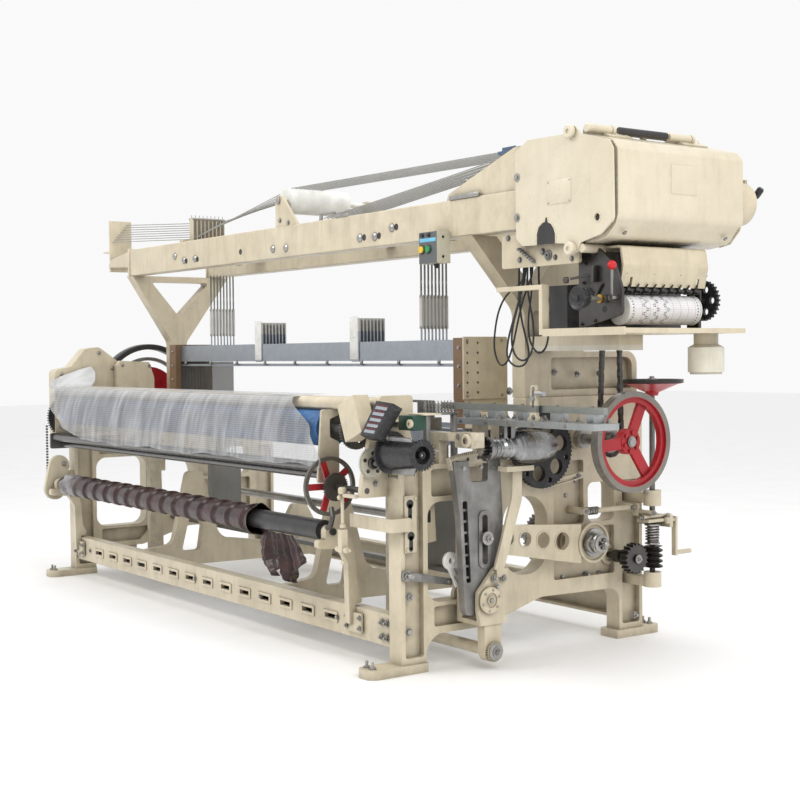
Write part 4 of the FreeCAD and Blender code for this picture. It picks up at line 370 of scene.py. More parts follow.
def clear_film(name):
    """Thin packing film: grey with long slanted creases and a fine square weave, with a painted highlight that
    makes it paler on top of the beam.
    """
    n = Nodes(name, 0.28)
    streak = n.noise(3.0, 4.0, 0.5, n.scaled((5.0, 1.0, 1.0), (0, math.radians(24), 0)))
    pleat = n.noise(4.0, 3.0, 0.5, n.scaled((7.0, 1.0, 1.0), (0, math.radians(34), 0)))
    weave = n.maths("MAXIMUM", n.rise(n.waves(30.0), 0.86, 0.98), n.rise(n.waves(34.0, "Z"), 0.8, 0.97))
    base = n.mix(n.rise(streak, 0.36, 0.64), (0.27, 0.268, 0.268), (0.43, 0.43, 0.432))
    base = n.mix(n.ramp(pleat, (0.40, 0.5), (0.52, 0.0)), base, (0.22, 0.235, 0.26))
    base = n.stained(base, (0.72, 0.74, 0.76), weave, 0.28)
    # Painted highlight: a paler colour on the film's top, above the beam's lower edge.
    beam_low, beam_span = 1030.0, 60.0
    on_top = n.rise(n.maths("DIVIDE", n.minus(n.along("Z"), beam_low), beam_span), 0.0, 1.0)
    base = n.stained(base, (0.68, 0.69, 0.70), on_top, 0.7)
    clear = n.ramp(streak, (0.34, 0.48), (0.66, 0.68))
    clear = n.maths("ADD", clear, n.times(on_top, 0.18))
    clear = n.maths("MINIMUM", 0.92, n.maths("ADD", clear, n.times(weave, 0.1)))
    fold = n.bump(weave, 0.1, 0.0008, n.bump(pleat, 0.35, 0.008, n.bump(streak, 0.35, 0.01)))
    n.set("Specular IOR Level", 0.45)
    return n.finish(base, None, fold, Alpha=clear)


def wound_film(name, colour, dark):
    """Maroon cloth under stretch film, wound tight: a dark edge to each turn, deepened by painted shade, and a
    pale glint to each turn.
    """
    n = Nodes(name, 0.2)
    crease = n.noise(9.0, 5.0, 0.55, n.scaled((0.8, 2.0, 2.0)))
    base = n.mix(n.rise(crease, 0.3, 0.7), dark, colour)
    veil = n.rise(n.noise(5.0, 4.0, 0.6, n.scaled((1.2, 8.0, 8.0))), 0.6, 0.76)
    base = n.stained(base, (0.22, 0.14, 0.13), veil, 0.14)
    # Painted shade: near black laid where the turns meet.
    corner = n.fall(n.crevice(0.03), 0.3, 0.95)
    base = n.stained(base, (0.012, 0.006, 0.006), corner, 0.8)
    from_end, bare_span = n.maths("ADD", n.along("X"), 3040.0), 260.0
    loose_end = n.ramp(n.maths("DIVIDE", from_end, bare_span), (0.0, 0.7), (1.0, 0.0))
    silver = n.times(loose_end, n.ramp(n.noise(14.0, 4.0), (0.35, 0.2), (0.6, 1.0)))
    base = n.mix(silver, base, (0.55, 0.55, 0.56))
    n.set("Coat Weight", 0.15)
    n.set("Specular IOR Level", 0.35)
    n.set("Coat Roughness", 0.1)
    rough = n.ramp(crease, (0.3, 0.24), (0.7, 0.48))
    fine = n.bump(n.noise(40.0, 4.0, 0.55, n.scaled((1.0, 3.0, 3.0))), 0.25, 0.002)
    return n.finish(base, rough, n.bump(crease, 0.35, 0.005, fine))


def braid(name, colour, dark):
    """Plaited cord or stranded wire: fine diagonal lay and a little dirt."""
    n = Nodes(name, 0.5)
    lay = n.times(n.waves(420.0, "DIAGONAL"), n.waves(336.0))
    base = n.mix(n.rise(lay, 0.1, 0.6), dark, colour)
    return n.finish(base, None, n.bump(lay, 0.5, 0.0006))


def pattern_card(name, axis, edges):
    """A black cylinder wearing a roll of ruled white paper, with a punched zigzag band and edge dots."""
    n = Nodes(name, 0.55)
    across = n.along("Y")
    u, v = (n.minus(n.along(letter), c) for letter, c in zip("XZ", axis))
    round_it = n.times(n.maths("ARCTAN2", v, u), 55.0)    # millimetres along the paper's girth

    def lines(value, pitch, width):
        part = n.maths("FRACT", n.maths("DIVIDE", value, pitch))
        return n.maths("LESS_THAN", part, width / pitch)

    def dots(pitch_u, pitch_v, radius, keep):
        du = n.minus(n.maths("FRACT", n.maths("DIVIDE", across, pitch_u)), 0.5)
        dv = n.minus(n.maths("FRACT", n.maths("DIVIDE", round_it, pitch_v)), 0.5)
        du, dv = n.times(du, pitch_u), n.times(dv, pitch_v)
        span = n.maths("ADD", n.times(du, du), n.times(dv, dv))
        return n.times(n.maths("LESS_THAN", span, radius * radius), keep)

    paper = n.mix(n.rise(n.noise(14.0, 4.0), 0.3, 0.7), (0.78, 0.78, 0.78), (0.68, 0.69, 0.71))
    ruled = n.maths("MAXIMUM", lines(across, 8.0, 1.1), lines(round_it, 8.0, 1.1))
    paper = n.stained(paper, (0.36, 0.38, 0.42), ruled, 0.6)
    paper = n.stained(paper, (0.58, 0.1, 0.12), lines(across, 40.0, 2.2), 0.75)
    paper = n.stained(paper, (0.3, 0.42, 0.4), lines(round_it, 40.0, 1.8), 0.5)
    sway = n.maths("ABSOLUTE", n.minus(n.maths("FRACT", n.maths("DIVIDE", round_it, 32.0)), 0.5))
    drift = n.minus(across, n.times(sway, 60.0))
    zigzag = n.maths("MAXIMUM", n.between(drift, 556, 572), n.between(drift, 610, 626))
    zigzag = n.maths("MAXIMUM", zigzag, n.between(drift, 664, 678))
    rim = n.maths("MAXIMUM", n.between(across, 508, 518), n.between(across, 852, 862))
    holes = n.maths("MAXIMUM", dots(8.0, 8.0, 2.7, zigzag), dots(10.0, 12.0, 3.0, rim))
    base = n.mix(holes, paper, (0.03, 0.03, 0.035))
    covered = n.times(n.between(across, *edges), n.maths("GREATER_THAN", n.reach("XZ", axis), 40.0))
    base = n.mix(covered, (0.014, 0.014, 0.016), base)
    return n.finish(base, n.mix(covered, (0.35,) * 3, (0.62,) * 3), n.bump(holes, 0.3, 0.0006))


CREAM = (0.615, 0.545, 0.41)
# Colour of the enamels' stains and of their painted corner shade.
GRIME_AND_SHADE = (0.115, 0.093, 0.062)
STEEL = (0.34, 0.33, 0.315)
RED = (0.42, 0.012, 0.02)
WOOD = (0.20, 0.115, 0.06)
BLACK = (0.014, 0.014, 0.016)
BLUE_COVER = (0.02, 0.115, 0.30)
CASTING = (0.34, 0.335, 0.325)
# Colour of the castings' stains, and deepened, of their painted corner shade.
CASTING_DIRT_AND_SHADE = (0.085, 0.08, 0.073)
POLISHED = (0.26, 1.0, 40.0)    # roughness, metal share and grit of polished castings

MATERIALS = {
    "cream_paint": enamel("cream_paint", CREAM, GRIME_AND_SHADE, 0.36, 0.85),
    "ivory_paint": enamel("ivory_paint", (0.665, 0.605, 0.475), GRIME_AND_SHADE, 0.28, 0.4),
    "black_paint": enamel("black_paint", (0.022, 0.022, 0.024), (0.09, 0.08, 0.07), 0.32, 0.5),
    "red_paint": enamel("red_paint", RED, (0.08, 0.02, 0.02), 0.28, 0.6),
    "bare_steel": machined("bare_steel", (0.46, 0.45, 0.43), (0.085, 0.075, 0.06), 0.3, soil_and_shade=0.75),
    "cast_grey": cast_metal("cast_grey", CASTING, CASTING_DIRT_AND_SHADE),
    "aluminium": machined("aluminium", (0.46, 0.495, 0.54), (0.2, 0.21, 0.23), 0.42, 0.85, soil_and_shade=0.45),
    "polished_aluminium": cast_metal(
        "polished_aluminium", (0.45, 0.45, 0.455), (0.12, 0.118, 0.115), *POLISHED),
    "blue_cover": rubber_cover("blue_cover", BLUE_COVER),
    "black_plastic": moulded("black_plastic", BLACK),
    "blue_plastic": moulded("blue_plastic", (0.02, 0.11, 0.33)),
    "white_plastic": moulded("white_plastic", (0.66, 0.66, 0.63), 0.35),
    "green_plastic": moulded("green_plastic", (0.01, 0.22, 0.07), 0.3),
    "yellow_plastic": moulded("yellow_plastic", (0.66, 0.42, 0.02), 0.3),
    "clear_film": clear_film("clear_film"),
    "wrap_film": wound_film("wrap_film", (0.05, 0.017, 0.015), (0.014, 0.005, 0.005)),
    "cord": braid("cord", (0.5, 0.5, 0.48), (0.22, 0.22, 0.21)),
    "cable": moulded("cable", (0.012, 0.012, 0.013), 0.4, 300.0, 0.05),
    "dark_steel": machined("dark_steel", (0.115, 0.11, 0.105), (0.025, 0.022, 0.02), 0.34, 0.9, soil_and_shade=0.6),
}
DARK_GREEN = enamel("dark_green_paint", (0.012, 0.055, 0.035), (0.03, 0.03, 0.03), 0.35, 0.6)
PALE_BLUE = moulded("pale_blue", (0.14, 0.42, 0.62), 0.4)

# Nodes of several colours: each zone is (mask, colour, metal share), and a later zone covers an earlier one.
SPECIAL = {
    "main_handwheel": enamel("handwheel_red", RED, (0.06, 0.02, 0.02), 0.28, 0.7, (
        (disc("YZ", MAIN_SHAFT, 182, 400), (0.25, 0.235, 0.21), 0.55),)),
    "take_up_handwheel": enamel("take_up_red", RED, (0.05, 0.02, 0.02), 0.3, 0.7, (
        (disc("YZ", TAKE_UP_WHEEL, 103, 200), (0.17, 0.165, 0.155), 0.6),
        (slab("X", -325, 0), (0.12, 0.115, 0.11), 0.8))),
    "let_off_shaft": machined("let_off_steel", (0.2, 0.19, 0.18), (0.05, 0.04, 0.03), 0.34, 0.85, GRAIN, 0.6, (
        (both(slab("Z", 1089, 1200), disc("XY", LET_OFF_SHAFT, 0, 110)), RED, 0.0),
        (both(slab("Z", 1100, 1200), disc("XY", LET_OFF_SHAFT, 110, 200)), (0.03, 0.03, 0.03), 0.1),
        (slab("Z", 300, 425), (0.035, 0.033, 0.03), 0.6))),
    "rapier_lever": cast_metal("lever_iron", CASTING, CASTING_DIRT_AND_SHADE, zones=(
        (both(disc("YZ", LEVER_PIVOT, 533, 700), slab("X", 95.9, 118.1)), CREAM, 0.0),)),
    "rapier_guide": machined(
        "guide_aluminium", (0.5, 0.52, 0.53), (0.15, 0.15, 0.145), 0.38, 0.85, soil_and_shade=0.6, zones=(
        (both(slab("Z", 987, 1200), slab("X", 316, 394), slab("Y", 371, 387)), CREAM, 0.0),
        (slab("Z", 0, 961), CREAM, 0.0),
        (slab("Z", 1018, 1045), (0.36, 0.38, 0.355), 0.8))),
    "heald_guides": enamel("guide_paint", CREAM, GRIME_AND_SHADE, 0.38, 0.85, (
        (both(slab("Z", 926, 1313), slab("X", -3000, -254.5), slab("Y", 518, 800)), WOOD, 0.0),
        (both(slab("Z", 926, 1313), slab("X", -3018, -2900), slab("Y", 518, 800)), WOOD, 0.0),
        (slab("Z", 0, 660), (0.2, 0.2, 0.19), 0.5))),
    "weft_spool": moulded("spool_black", (0.016, 0.016, 0.018), 0.32, zones=(
        (both(disc("YZ", SPOOL, 67, 90), slab("X", 20, 204)), (0.42, 0.43, 0.43), 0.75),)),
    "rapier_gearbox": cast_metal("gearbox_casting", (0.36, 0.36, 0.365), (0.09, 0.088, 0.085), *POLISHED, (
        (slab("Y", 0, 239.1), CREAM, 0.0),
        (slab("Y", 239.1, 261.9), (0.1, 0.095, 0.09), 0.9),
        (both(slab("Y", 400, 630), slab("Z", 0, 828)), (0.12, 0.115, 0.11), 0.9))),
    "take_up_roller": rubber_cover("take_up_cover", BLUE_COVER, (
        (slab("X", -419, 100), (0.13, 0.125, 0.12), 0.8),
        (slab("X", -4000, -3131), (0.3, 0.29, 0.28), 0.8))),
    "harness_frame": enamel("harness_paint", CREAM, GRIME_AND_SHADE, 0.36, 0.8, (
        (both(slab("Z", 2024.5, 2100), slab("X", 90, 180)), (0.06, 0.13, 0.25), 0.2),)),
    "dobby_platform": enamel("platform_paint", CREAM, GRIME_AND_SHADE, 0.36, 0.7, (
        (slab("Z", 1100, 1273), (0.66, 0.63, 0.54), 0.0),)),
    "control_box": enamel("control_box_paint", (0.5, 0.475, 0.38), GRIME_AND_SHADE, 0.36, 0.7, (
        (slab("Y", 290, 300.6), (0.10, 0.11, 0.12), 0.0),)),
    "sley": machined("sley_steel", (0.36, 0.35, 0.33), (0.08, 0.07, 0.06), 0.34, soil_and_shade=0.8, zones=(
        (slab("Z", 0, 929), CREAM, 0.0),)),
    "card_cylinder": pattern_card("card_paper", CARD_AXIS, (501, 869)),
    "hand_knob": moulded("knob_black", BLACK, 0.35, zones=(
        (slab("Y", 330, 440), STEEL, 0.9),
        (slab("Y", 395, 411), (0.42, 0.28, 0.09), 1.0))),
    "ball_lever": enamel("ball_red", (0.55, 0.012, 0.02), (0.1, 0.02, 0.02), 0.18, 0.3, (
        (slab("Z", 0, 1539), STEEL, 0.9),)),
    "guide_rods": machined("guide_rod_steel", (0.2, 0.195, 0.19), (0.04, 0.036, 0.03), 0.26, 0.9, zones=(
        (slab("X", -397, -300), CREAM, 0.0),)),
}
HEALD_ZONES = (
    (slab("Z", 1356.5, 1505.5), (0.58, 0.57, 0.53), 0.0),    # hangers
    (slab("Z", 1505.5, 1700), (0.16, 0.17, 0.16), 0.6),      # stays
    (slab("Z", 600, 849), (0.2, 0.2, 0.2), 0.7))             # springs
for number in range(1, 9):
    SPECIAL[f"heald_frame_{number}"] = machined(
        f"heald_aluminium_{number}", (0.42, 0.455, 0.50), (0.17, 0.18, 0.2), 0.42, 0.85,
        soil_and_shade=0.45, zones=HEALD_ZONES)

for sub in frame["record"]["subparts"]:
    materials = frame["nodes"][sub["node"]].data.materials
    materials.clear()
    materials.append(SPECIAL.get(sub["node"], MATERIALS[sub["material_slot"]]))


# ------------------------------------------------------------------------------------------ mesh tools

class Piece:
    """Collects shapes in the loom's millimetres, then becomes one object that rides on a body."""

    def __init__(self, name):
        self.name = name
        self.bm = bmesh.new()

    def walls(self, low, high):
        """Quads between two rings of as many points."""
        count = len(low)
        return [self.bm.faces.new((low[step], low[(step + 1) % count], high[(step + 1) % count], high[step]))
                for step in range(count)]

    def box(self, x0, x1, y0, y1, z0, z1, bevel=1.5):
        """A block with its edges rounded."""
        size = Vector((x1 - x0, y1 - y0, z1 - z0))
        middle = Vector((x0 + x1, y0 + y1, z0 + z1)) / 2
        made = bmesh.ops.create_cube(self.bm, size=1.0)["verts"]
        for vert in made:
            vert.co = Vector((vert.co.x * size.x, vert.co.y * size.y, vert.co.z * size.z)) + middle
        width = min(bevel, min(size) * 0.45)
        if width > 0:
            edges = list({edge for vert in made for edge in vert.link_edges})
            bmesh.ops.bevel(self.bm, geom=edges, offset=width, segments=2, profile=0.5, affect="EDGES")
        return self

    def lathe(self, origin, axis, profile, around=24, start=0.0):
        """A profile of (radius, distance along the axis) turned about it. A radius of 0 closes the end."""
        origin, axis = Vector(origin), Vector(axis).normalized()
        side = axis.orthogonal().normalized()
        other = axis.cross(side)
        rings = []
        for radius, along in profile:
            centre = origin + axis * along
            if radius <= 1e-6:
                rings.append([self.bm.verts.new(centre)])
                continue
            turns = (start + math.tau * step / around for step in range(around))
            rings.append([self.bm.verts.new(centre + (side * math.cos(turn) + other * math.sin(turn)) * radius)
                          for turn in turns])
        for low, high in zip(rings, rings[1:]):
            if len(low) == len(high) == around:
                self.walls(low, high)
            elif len(low) != len(high):
                for step in range(around):
                    after = (step + 1) % around
                    if len(low) == 1:
                        self.bm.faces.new((low[0], high[after], high[step]))
                    else:
                        self.bm.faces.new((low[step], low[after], high[0]))
        return self

    def turned(self, place, axis, steps, around=20):
        """A solid turned about axis from (radius, height) steps, closed flat at both ends."""
        return self.lathe(place, axis, [(0, steps[0][1]), *steps, (0, steps[-1][1])], around)

    def rod(self, a, b, radius, around=16):
        """A round bar from a to b with chamfered ends."""
        a, b = Vector(a), Vector(b)
        length = (b - a).length
        cut = min(radius * 0.18, length * 0.3)
        steps = [(radius - cut, 0), (radius, cut), (radius, length - cut), (radius - cut, length)]
        return self.turned(a, b - a, steps, around)

    def bolt(self, place, axis, size, washer=True, stub=0.0):
        """A hexagon head on its washer, pointing along axis, with an end of thread if stub is given."""
        across = size * 0.92
        tall = size * 0.62
        base = size * 0.14 if washer else 0.0
        if washer:
            self.turned(place, axis, [(size * 1.22, 0), (size * 1.25, size * 0.06), (size * 1.2, base)], 18)
        self.lathe(place, axis, [(0, base), (across, base), (across, base + tall * 0.8),
                                 (across * 0.86, base + tall), (0, base + tall)], 6, start=0.3)
        if stub:
            self.lathe(place, axis, [(size * 0.5, base + tall), (size * 0.5, base + tall + stub),
                                     (size * 0.4, base + tall + stub * 1.1), (0, base + tall + stub * 1.1)], 10)
        return self

    def screw(self, place, axis, size):
        """A socket or pan head screw."""
        return self.turned(place, axis, [(size * 0.8, 0), (size * 0.85, size * 0.35), (size * 0.6, size * 0.6),
                                         (size * 0.3, size * 0.6), (size * 0.28, size * 0.25)], 12)

    def tube(self, points, radius, around=8):
        """A round section carried along points by parallel transport."""
        points = [Vector(p) for p in points]
        rings = []
        before = None
        for index, point in enumerate(points):
            ahead = points[min(index + 1, len(points) - 1)] - points[max(index - 1, 0)]
            ahead.normalize()
            if before is None:
                side = ahead.orthogonal().normalized()
            else:
                side = (before.rotation_difference(ahead) @ side)
                side = (side - ahead * side.dot(ahead)).normalized()
            other = ahead.cross(side)
            turns = (math.tau * step / around for step in range(around))
            rings.append([self.bm.verts.new(point + (side * math.cos(turn) + other * math.sin(turn)) * radius)
                          for turn in turns])
            before = ahead
        for low, high in zip(rings, rings[1:]):
            self.walls(low, high)
        self.bm.faces.new(rings[0][::-1])
        self.bm.faces.new(rings[-1])
        return self

    def spring(self, a, b, radius, wire, turns, around=6, steps=12):
        """A coil spring from a to b with a hooked end at each."""
        a, b = Vector(a), Vector(b)
        axis = (b - a).normalized()
        side = axis.orthogonal().normalized()
        other = axis.cross(side)
        total = int(turns * steps)
        points = [a]
        for step in range(total + 1):
            turn = math.tau * step / steps
            share = 0.08 + 0.84 * step / total
            points.append(a.lerp(b, share) + (side * math.cos(turn) + other * math.sin(turn)) * radius)
        points.append(b)
        return self.tube(points, wire, around)

    def prism(self, corners, offset):
        """A solid between an outline and its copy moved by offset. Returns its end faces and its walls."""
        low = [self.bm.verts.new(corner) for corner in corners]
        high = [self.bm.verts.new(corner + offset) for corner in corners]
        ends = [self.bm.faces.new(low[::-1]), self.bm.faces.new(high)]
        return ends, self.walls(low, high)

    def plate(self, axis, low, high, outline, bevel=1.0):
        """A flat outline in the plane across axis, between low and high along it, with its edges rounded."""
        def place(u, v, along):
            return Vector({"x": (along, u, v), "y": (u, along, v), "z": (u, v, along)}[axis])
        ends, walls = self.prism([place(u, v, low) for u, v in outline], place(0, 0, high - low))
        bmesh.ops.recalc_face_normals(self.bm, faces=ends + walls)
        if bevel:
            edges = list({edge for face in ends for edge in face.edges})
            bmesh.ops.bevel(self.bm, geom=edges, offset=bevel, segments=2, profile=0.5, affect="EDGES")
        return self

    def toothed(self, axis, centre, low, high, outer, root, teeth):
        """A spur wheel as one extruded outline."""
        outline = []
        for tooth in range(teeth):
            for share, radius in ((0.0, root), (0.18, outer), (0.46, outer), (0.64, root)):
                turn = math.tau * (tooth + share) / teeth
                outline.append((centre[0] + radius * math.cos(turn), centre[1] + radius * math.sin(turn)))
        return self.plate(axis, low, high, outline, 0.0)

    def done(self, slot, body="loom_frame", material=None, smooth=True):
        """The finished object: scaled to metres, shaded by angle, given its slot's material unless another is
        given, and put on its body.
        """
        bmesh.ops.recalc_face_normals(self.bm, faces=self.bm.faces[:])
        for face in self.bm.faces:
            face.smooth = smooth
        for edge in self.bm.edges:
            if len(edge.link_faces) == 2 and edge.calc_face_angle(0) > SHARP_ANGLE:
                edge.smooth = False
        mesh = bpy.data.meshes.new(self.name)
        self.bm.transform(Matrix.Translation((RIGHT_FACE_X, FRONT_FACE_Y, 0)) @ Matrix.Scale(MM, 4))
        self.bm.to_mesh(mesh)
        self.bm.free()
        return put(self.name, mesh, slot, body, material)


def put(name, data, slot, body="loom_frame", material=None):
    """A mesh or curve as an object of the scene, with its material (that of its slot unless one is given) and
    its body.
    """
    made = bpy.data.objects.new(name, data)
    bpy.context.scene.collection.objects.link(made)
    data.materials.append(material or MATERIALS[slot])
    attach(made, body)
    return made


# ------------------------------------------------------------------------------------------ cords

def spline(name, points, radius, slot):
    """A round cord on one smooth NURBS curve with those loom points as its control points."""
    curve = bpy.data.curves.new(name, "CURVE")
    curve.dimensions = "3D"
    line = curve.splines.new("NURBS")
    line.points.add(len(points) - 1)
    for point, place in zip(line.points, points):
        point.co = (*at(*place), 1.0)
    line.order_u = 3
    line.use_endpoint_u = True
    line.resolution_u = 8
    curve.bevel_depth = radius * MM
    curve.bevel_resolution = 4
    curve.use_fill_caps = True
    return put(name, curve, slot)


CABLE_R = 4.0
CABLE_ROUTES = {
    "dobby_cable_a": (0.914, (
        (215, 425, 1596), (215, 425, 1560), (196, 438, 1494), (188, 452, 1400), (206, 462, 1310),
        (228, 466, 1245), (205, 462, 1195), (150, 452, 1190), (104, 450, 1228), (108, 456, 1300),
        (138, 462, 1385), (178, 460, 1466), (226, 450, 1544), (226, 450, 1596))),
    "dobby_cable_b": (1.023, (
        (205, 464, 1596), (205, 464, 1550), (150, 480, 1512), (60, 490, 1482), (2, 496, 1420),
        (-28, 500, 1334), (-34, 500, 1254), (8, 496, 1190), (64, 490, 1206), (104, 484, 1270),
        (134, 480, 1350), (170, 476, 1440), (214, 466, 1500), (252, 462, 1548), (252, 462, 1596))),
    "dobby_cable_c": (0.845, (
        (258, 412, 1596), (258, 412, 1556), (250, 406, 1492), (232, 402, 1424), (204, 402, 1360),
        (190, 402, 1292), (212, 402, 1232), (262, 402, 1210), (310, 402, 1236), (326, 402, 1300),
        (318, 404, 1368), (296, 408, 1434), (276, 412, 1500), (280, 412, 1556), (280, 412, 1596))),
    "dobby_cable_d": (0.784, (
        (228, 472, 1596), (228, 472, 1552), (208, 496, 1486), (178, 508, 1420), (164, 512, 1350),
        (176, 512, 1284), (220, 512, 1240), (268, 510, 1254), (296, 504, 1306), (300, 496, 1372),
        (284, 486, 1440), (270, 478, 1504), (276, 472, 1552), (276, 472, 1596))),
}
for name, (length, route) in CABLE_ROUTES.items():
    cable = spline(name, route, CABLE_R, "cable")
    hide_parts("cable_loops")


# ------------------------------------------------------------------------------------------ sheets

def along_line(points, share):
    """The point at a share of a polyline's length."""
    points = [Vector(p) for p in points]
    spans = [(b - a).length for a, b in zip(points, points[1:])]
    left = share * sum(spans)
    for a, b, span in zip(points, points[1:], spans):
        if left <= span:
            return a.lerp(b, left / span)
        left -= span
    return points[-1]


def between_keys(keys, x):
    """The value at x from sorted (x, value) keys, eased from one to the next."""
    if x <= keys[0][0]:
        return keys[0][1]
    for (low, first), (high, second) in zip(keys, keys[1:]):
        if x <= high:
            share = (x - low) / (high - low)
            share = share * share * (3 - 2 * share)
            return first + (second - first) * share
    return keys[-1][1]


def cloth(name, columns, rows, place, slot, body="loom_frame"):
    """A sheet of rows by columns of points from place(u, v), both from 0 to 1, in the loom's millimetres."""
    piece = Piece(name)
    grid = [[piece.bm.verts.new(place(column / columns, row / rows)) for column in range(columns + 1)]
            for row in range(rows + 1)]
    for low, high in zip(grid, grid[1:]):
        for column in range(columns):
            piece.bm.faces.new((low[column], low[column + 1], high[column + 1], high[column]))
    return piece.done(slot, body)


FILM_TOP = 1079.0
FILM_LEFT = ((800, -2740.0), (870, -3010.0), (976, -3190.0), (1083, -3246.0))
FILM_RIGHT = ((800, -318.0), (940, -436.0), (1075, -655.0))
FILM_CORNER = ((-3246, -128, 1083), (-3232, -118, 1112), (-3222, -40, 1146), (-3220, 60, 1178),
               (-3219, 122, 1192), (-3206, 140, 1158), (-3180, 128, 1112), (-3150, 92, FILM_TOP))
FILM_HANGING = ((-76, FILM_TOP - 8), (-100, 1045), (-122, 985), (-134, 925), (-144, 862), (-150, 797))
CORNER_SHARE = 0.16    # of the sheet's width, drawn up against the hood
CORNER_WIDTH = 0.04    # of the beam's length, left to that corner
FRONT_SHARE = 0.36     # of the sheet's length, lying on the beam


def film_point(u, v):
    """The packing film: over the breast beam, down past the take-up roller, and up against the left hood."""
    if u < CORNER_SHARE:
        part = u / CORNER_SHARE
        top = along_line(FILM_CORNER, part)
        across = CORNER_WIDTH * part
    else:
        across = CORNER_WIDTH + (1 - CORNER_WIDTH) * (u - CORNER_SHARE) / (1 - CORNER_SHARE)
        top = Vector((-3150 + 2495 * (across - CORNER_WIDTH) / (1 - CORNER_WIDTH), 92, FILM_TOP))
    if v < FRONT_SHARE:
        y, z = FILM_HANGING[0]
        low = 0.0
        share = v / FRONT_SHARE
    else:
        low = (v - FRONT_SHARE) / (1 - FRONT_SHARE)
        spot = along_line([(0, y, z) for y, z in FILM_HANGING], low)
        y, z = spot.y, spot.z
        share = 1.0
    left = between_keys(FILM_LEFT, z)
    front = Vector((left + (between_keys(FILM_RIGHT, z) - left) * across, y, z))
    if u < 0.5 * CORNER_SHARE:
        front.y -= 30 * (1 - u / (0.5 * CORNER_SHARE)) * (1 - low)
    place = top.lerp(front, share)
    x = place.x
    slant = x * 0.0088 + v * 6.5 + 0.5 * math.sin(x * 0.0031)
    ridges = (1.0 - abs(math.sin(slant))) ** 4
    thin = (1.0 - abs(math.sin(x * 0.019 - v * 4.0))) ** 6
    ripple = noise.noise(Vector((x * 0.005, v * 2.0, 1.7)))
    fold = (11.0 * ridges + 4.0 * thin + 7.0 * ripple) * low
    belly = 9.0 * math.sin(math.pi * min(1.0, v * 1.05)) * low
    hem = 5.0 * math.sin(x * 0.009) + 3.0 * math.sin(x * 0.023 + 1.0)
    reach = max(0.0, fold + 2.0 + belly)
    lifted = max(0.0, ripple + 0.5 * ridges) * 3.0 * (1 - low) * math.sin(math.pi * min(1.0, share))
    return Vector((x, place.y - reach * low, place.z + lifted + hem * low ** 4))


film = cloth("packing_film", 300, 44, film_point, "clear_film")
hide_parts("plastic_film")

WRAP_LEFT, WRAP_RIGHT, WRAP_RIBS = -3025.0, -905.0, 16
CLOTH_ROLLER = (-100, 535)


def wrap_point(u, v):
    """The packing round the cloth roller: a spiral of overlapping turns, lapped along its seam below."""
    turn = math.tau * (u * 1.06 + 0.6)
    length = WRAP_RIGHT - WRAP_LEFT
    x = WRAP_LEFT + length * v
    lap = (v * WRAP_RIBS + turn / math.tau) % 1.0
    bulge = lap ** 0.7 * (1.0 - max(0.0, lap - 0.88) / 0.12)
    wrinkle = noise.noise(Vector((x * 0.012, math.cos(turn) * 1.2, math.sin(turn) * 1.2)))
    crumple = noise.noise(Vector((x * 0.05, math.cos(turn) * 3, math.sin(turn) * 3 + 3)))
    radius = 49.0 + 12.0 * bulge + 1.6 * wrinkle + 0.9 * crumple
    flare = max(0.0, 1.0 - (WRAP_RIGHT - x) / 90.0)
    radius += 13.0 * flare ** 1.5 * (1 + 0.25 * math.sin(5 * turn + 1))
    ragged = max(0.0, 1.0 - (x - WRAP_LEFT) / 120.0)
    radius += 8.0 * ragged * (0.4 + 0.6 * math.sin(7 * turn))
    ends = 14.0 * math.sin(3 * turn + 1) * (flare + ragged)
    radius = max(44.5, radius) + 2.5 * max(0.0, u - 0.9) / 0.1
    y, z = CLOTH_ROLLER
    return Vector((x + ends, y + radius * math.cos(turn), z + radius * math.sin(turn)))


wrap = cloth("roll_wrapping", 56, 420, wrap_point, "wrap_film", "cloth_roller")
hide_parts("cloth_wrap")

TAIL_WIDTHS = ((0.0, 270.0), (0.35, 340.0), (0.7, 380.0), (1.0, 210.0))


def tail_point(u, v):
    """The wrapping's loose end: gathered under the roller, spreading into folds and drawn to a point."""
    wide = between_keys(TAIL_WIDTHS, v)
    centre = -768 + 60 * v
    swing = 0.25 + 0.75 * v
    fold = math.sin(u * 19.0 + 0.5 * math.sin(v * 3)) + 0.4 * math.sin(u * 41.0 + 2.0 + v)
    crumple = noise.noise(Vector((u * 6, v * 7, 9.1))) + 0.5 * noise.noise(Vector((u * 15, v * 14, 2.3)))
    y = -101 + 24 * fold * swing + 8 * crumple * swing
    drop = 196 * v * (0.80 + 0.14 * math.sin(math.pi * u) + 0.16 * math.sin(u * 9 + 1))
    x = centre + (u - 0.5) * wide + 6 * crumple * v
    return Vector((x, y, 492.0 - drop - 4 * abs(fold) * (1 - v)))


tail = cloth("wrapping_tail", 110, 60, tail_point, "wrap_film")
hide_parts("wrap_tail")


# ------------------------------------------------------------------------------------------ frame

def bolt_rows(name, *rows):
    """One piece of steel bolts from rows of (place, axis, size, stub)."""
    piece = Piece(name)
    for place, axis, size, stub in rows:
        piece.bolt(place, axis, size, stub=stub)
    piece.done("bare_steel")


def on_face(x, axis, *places):
    """Bolt rows on a face at x, from (y, z, size, stub)."""
    return [((x, y, z), axis, size, stub) for y, z, size, stub in places]


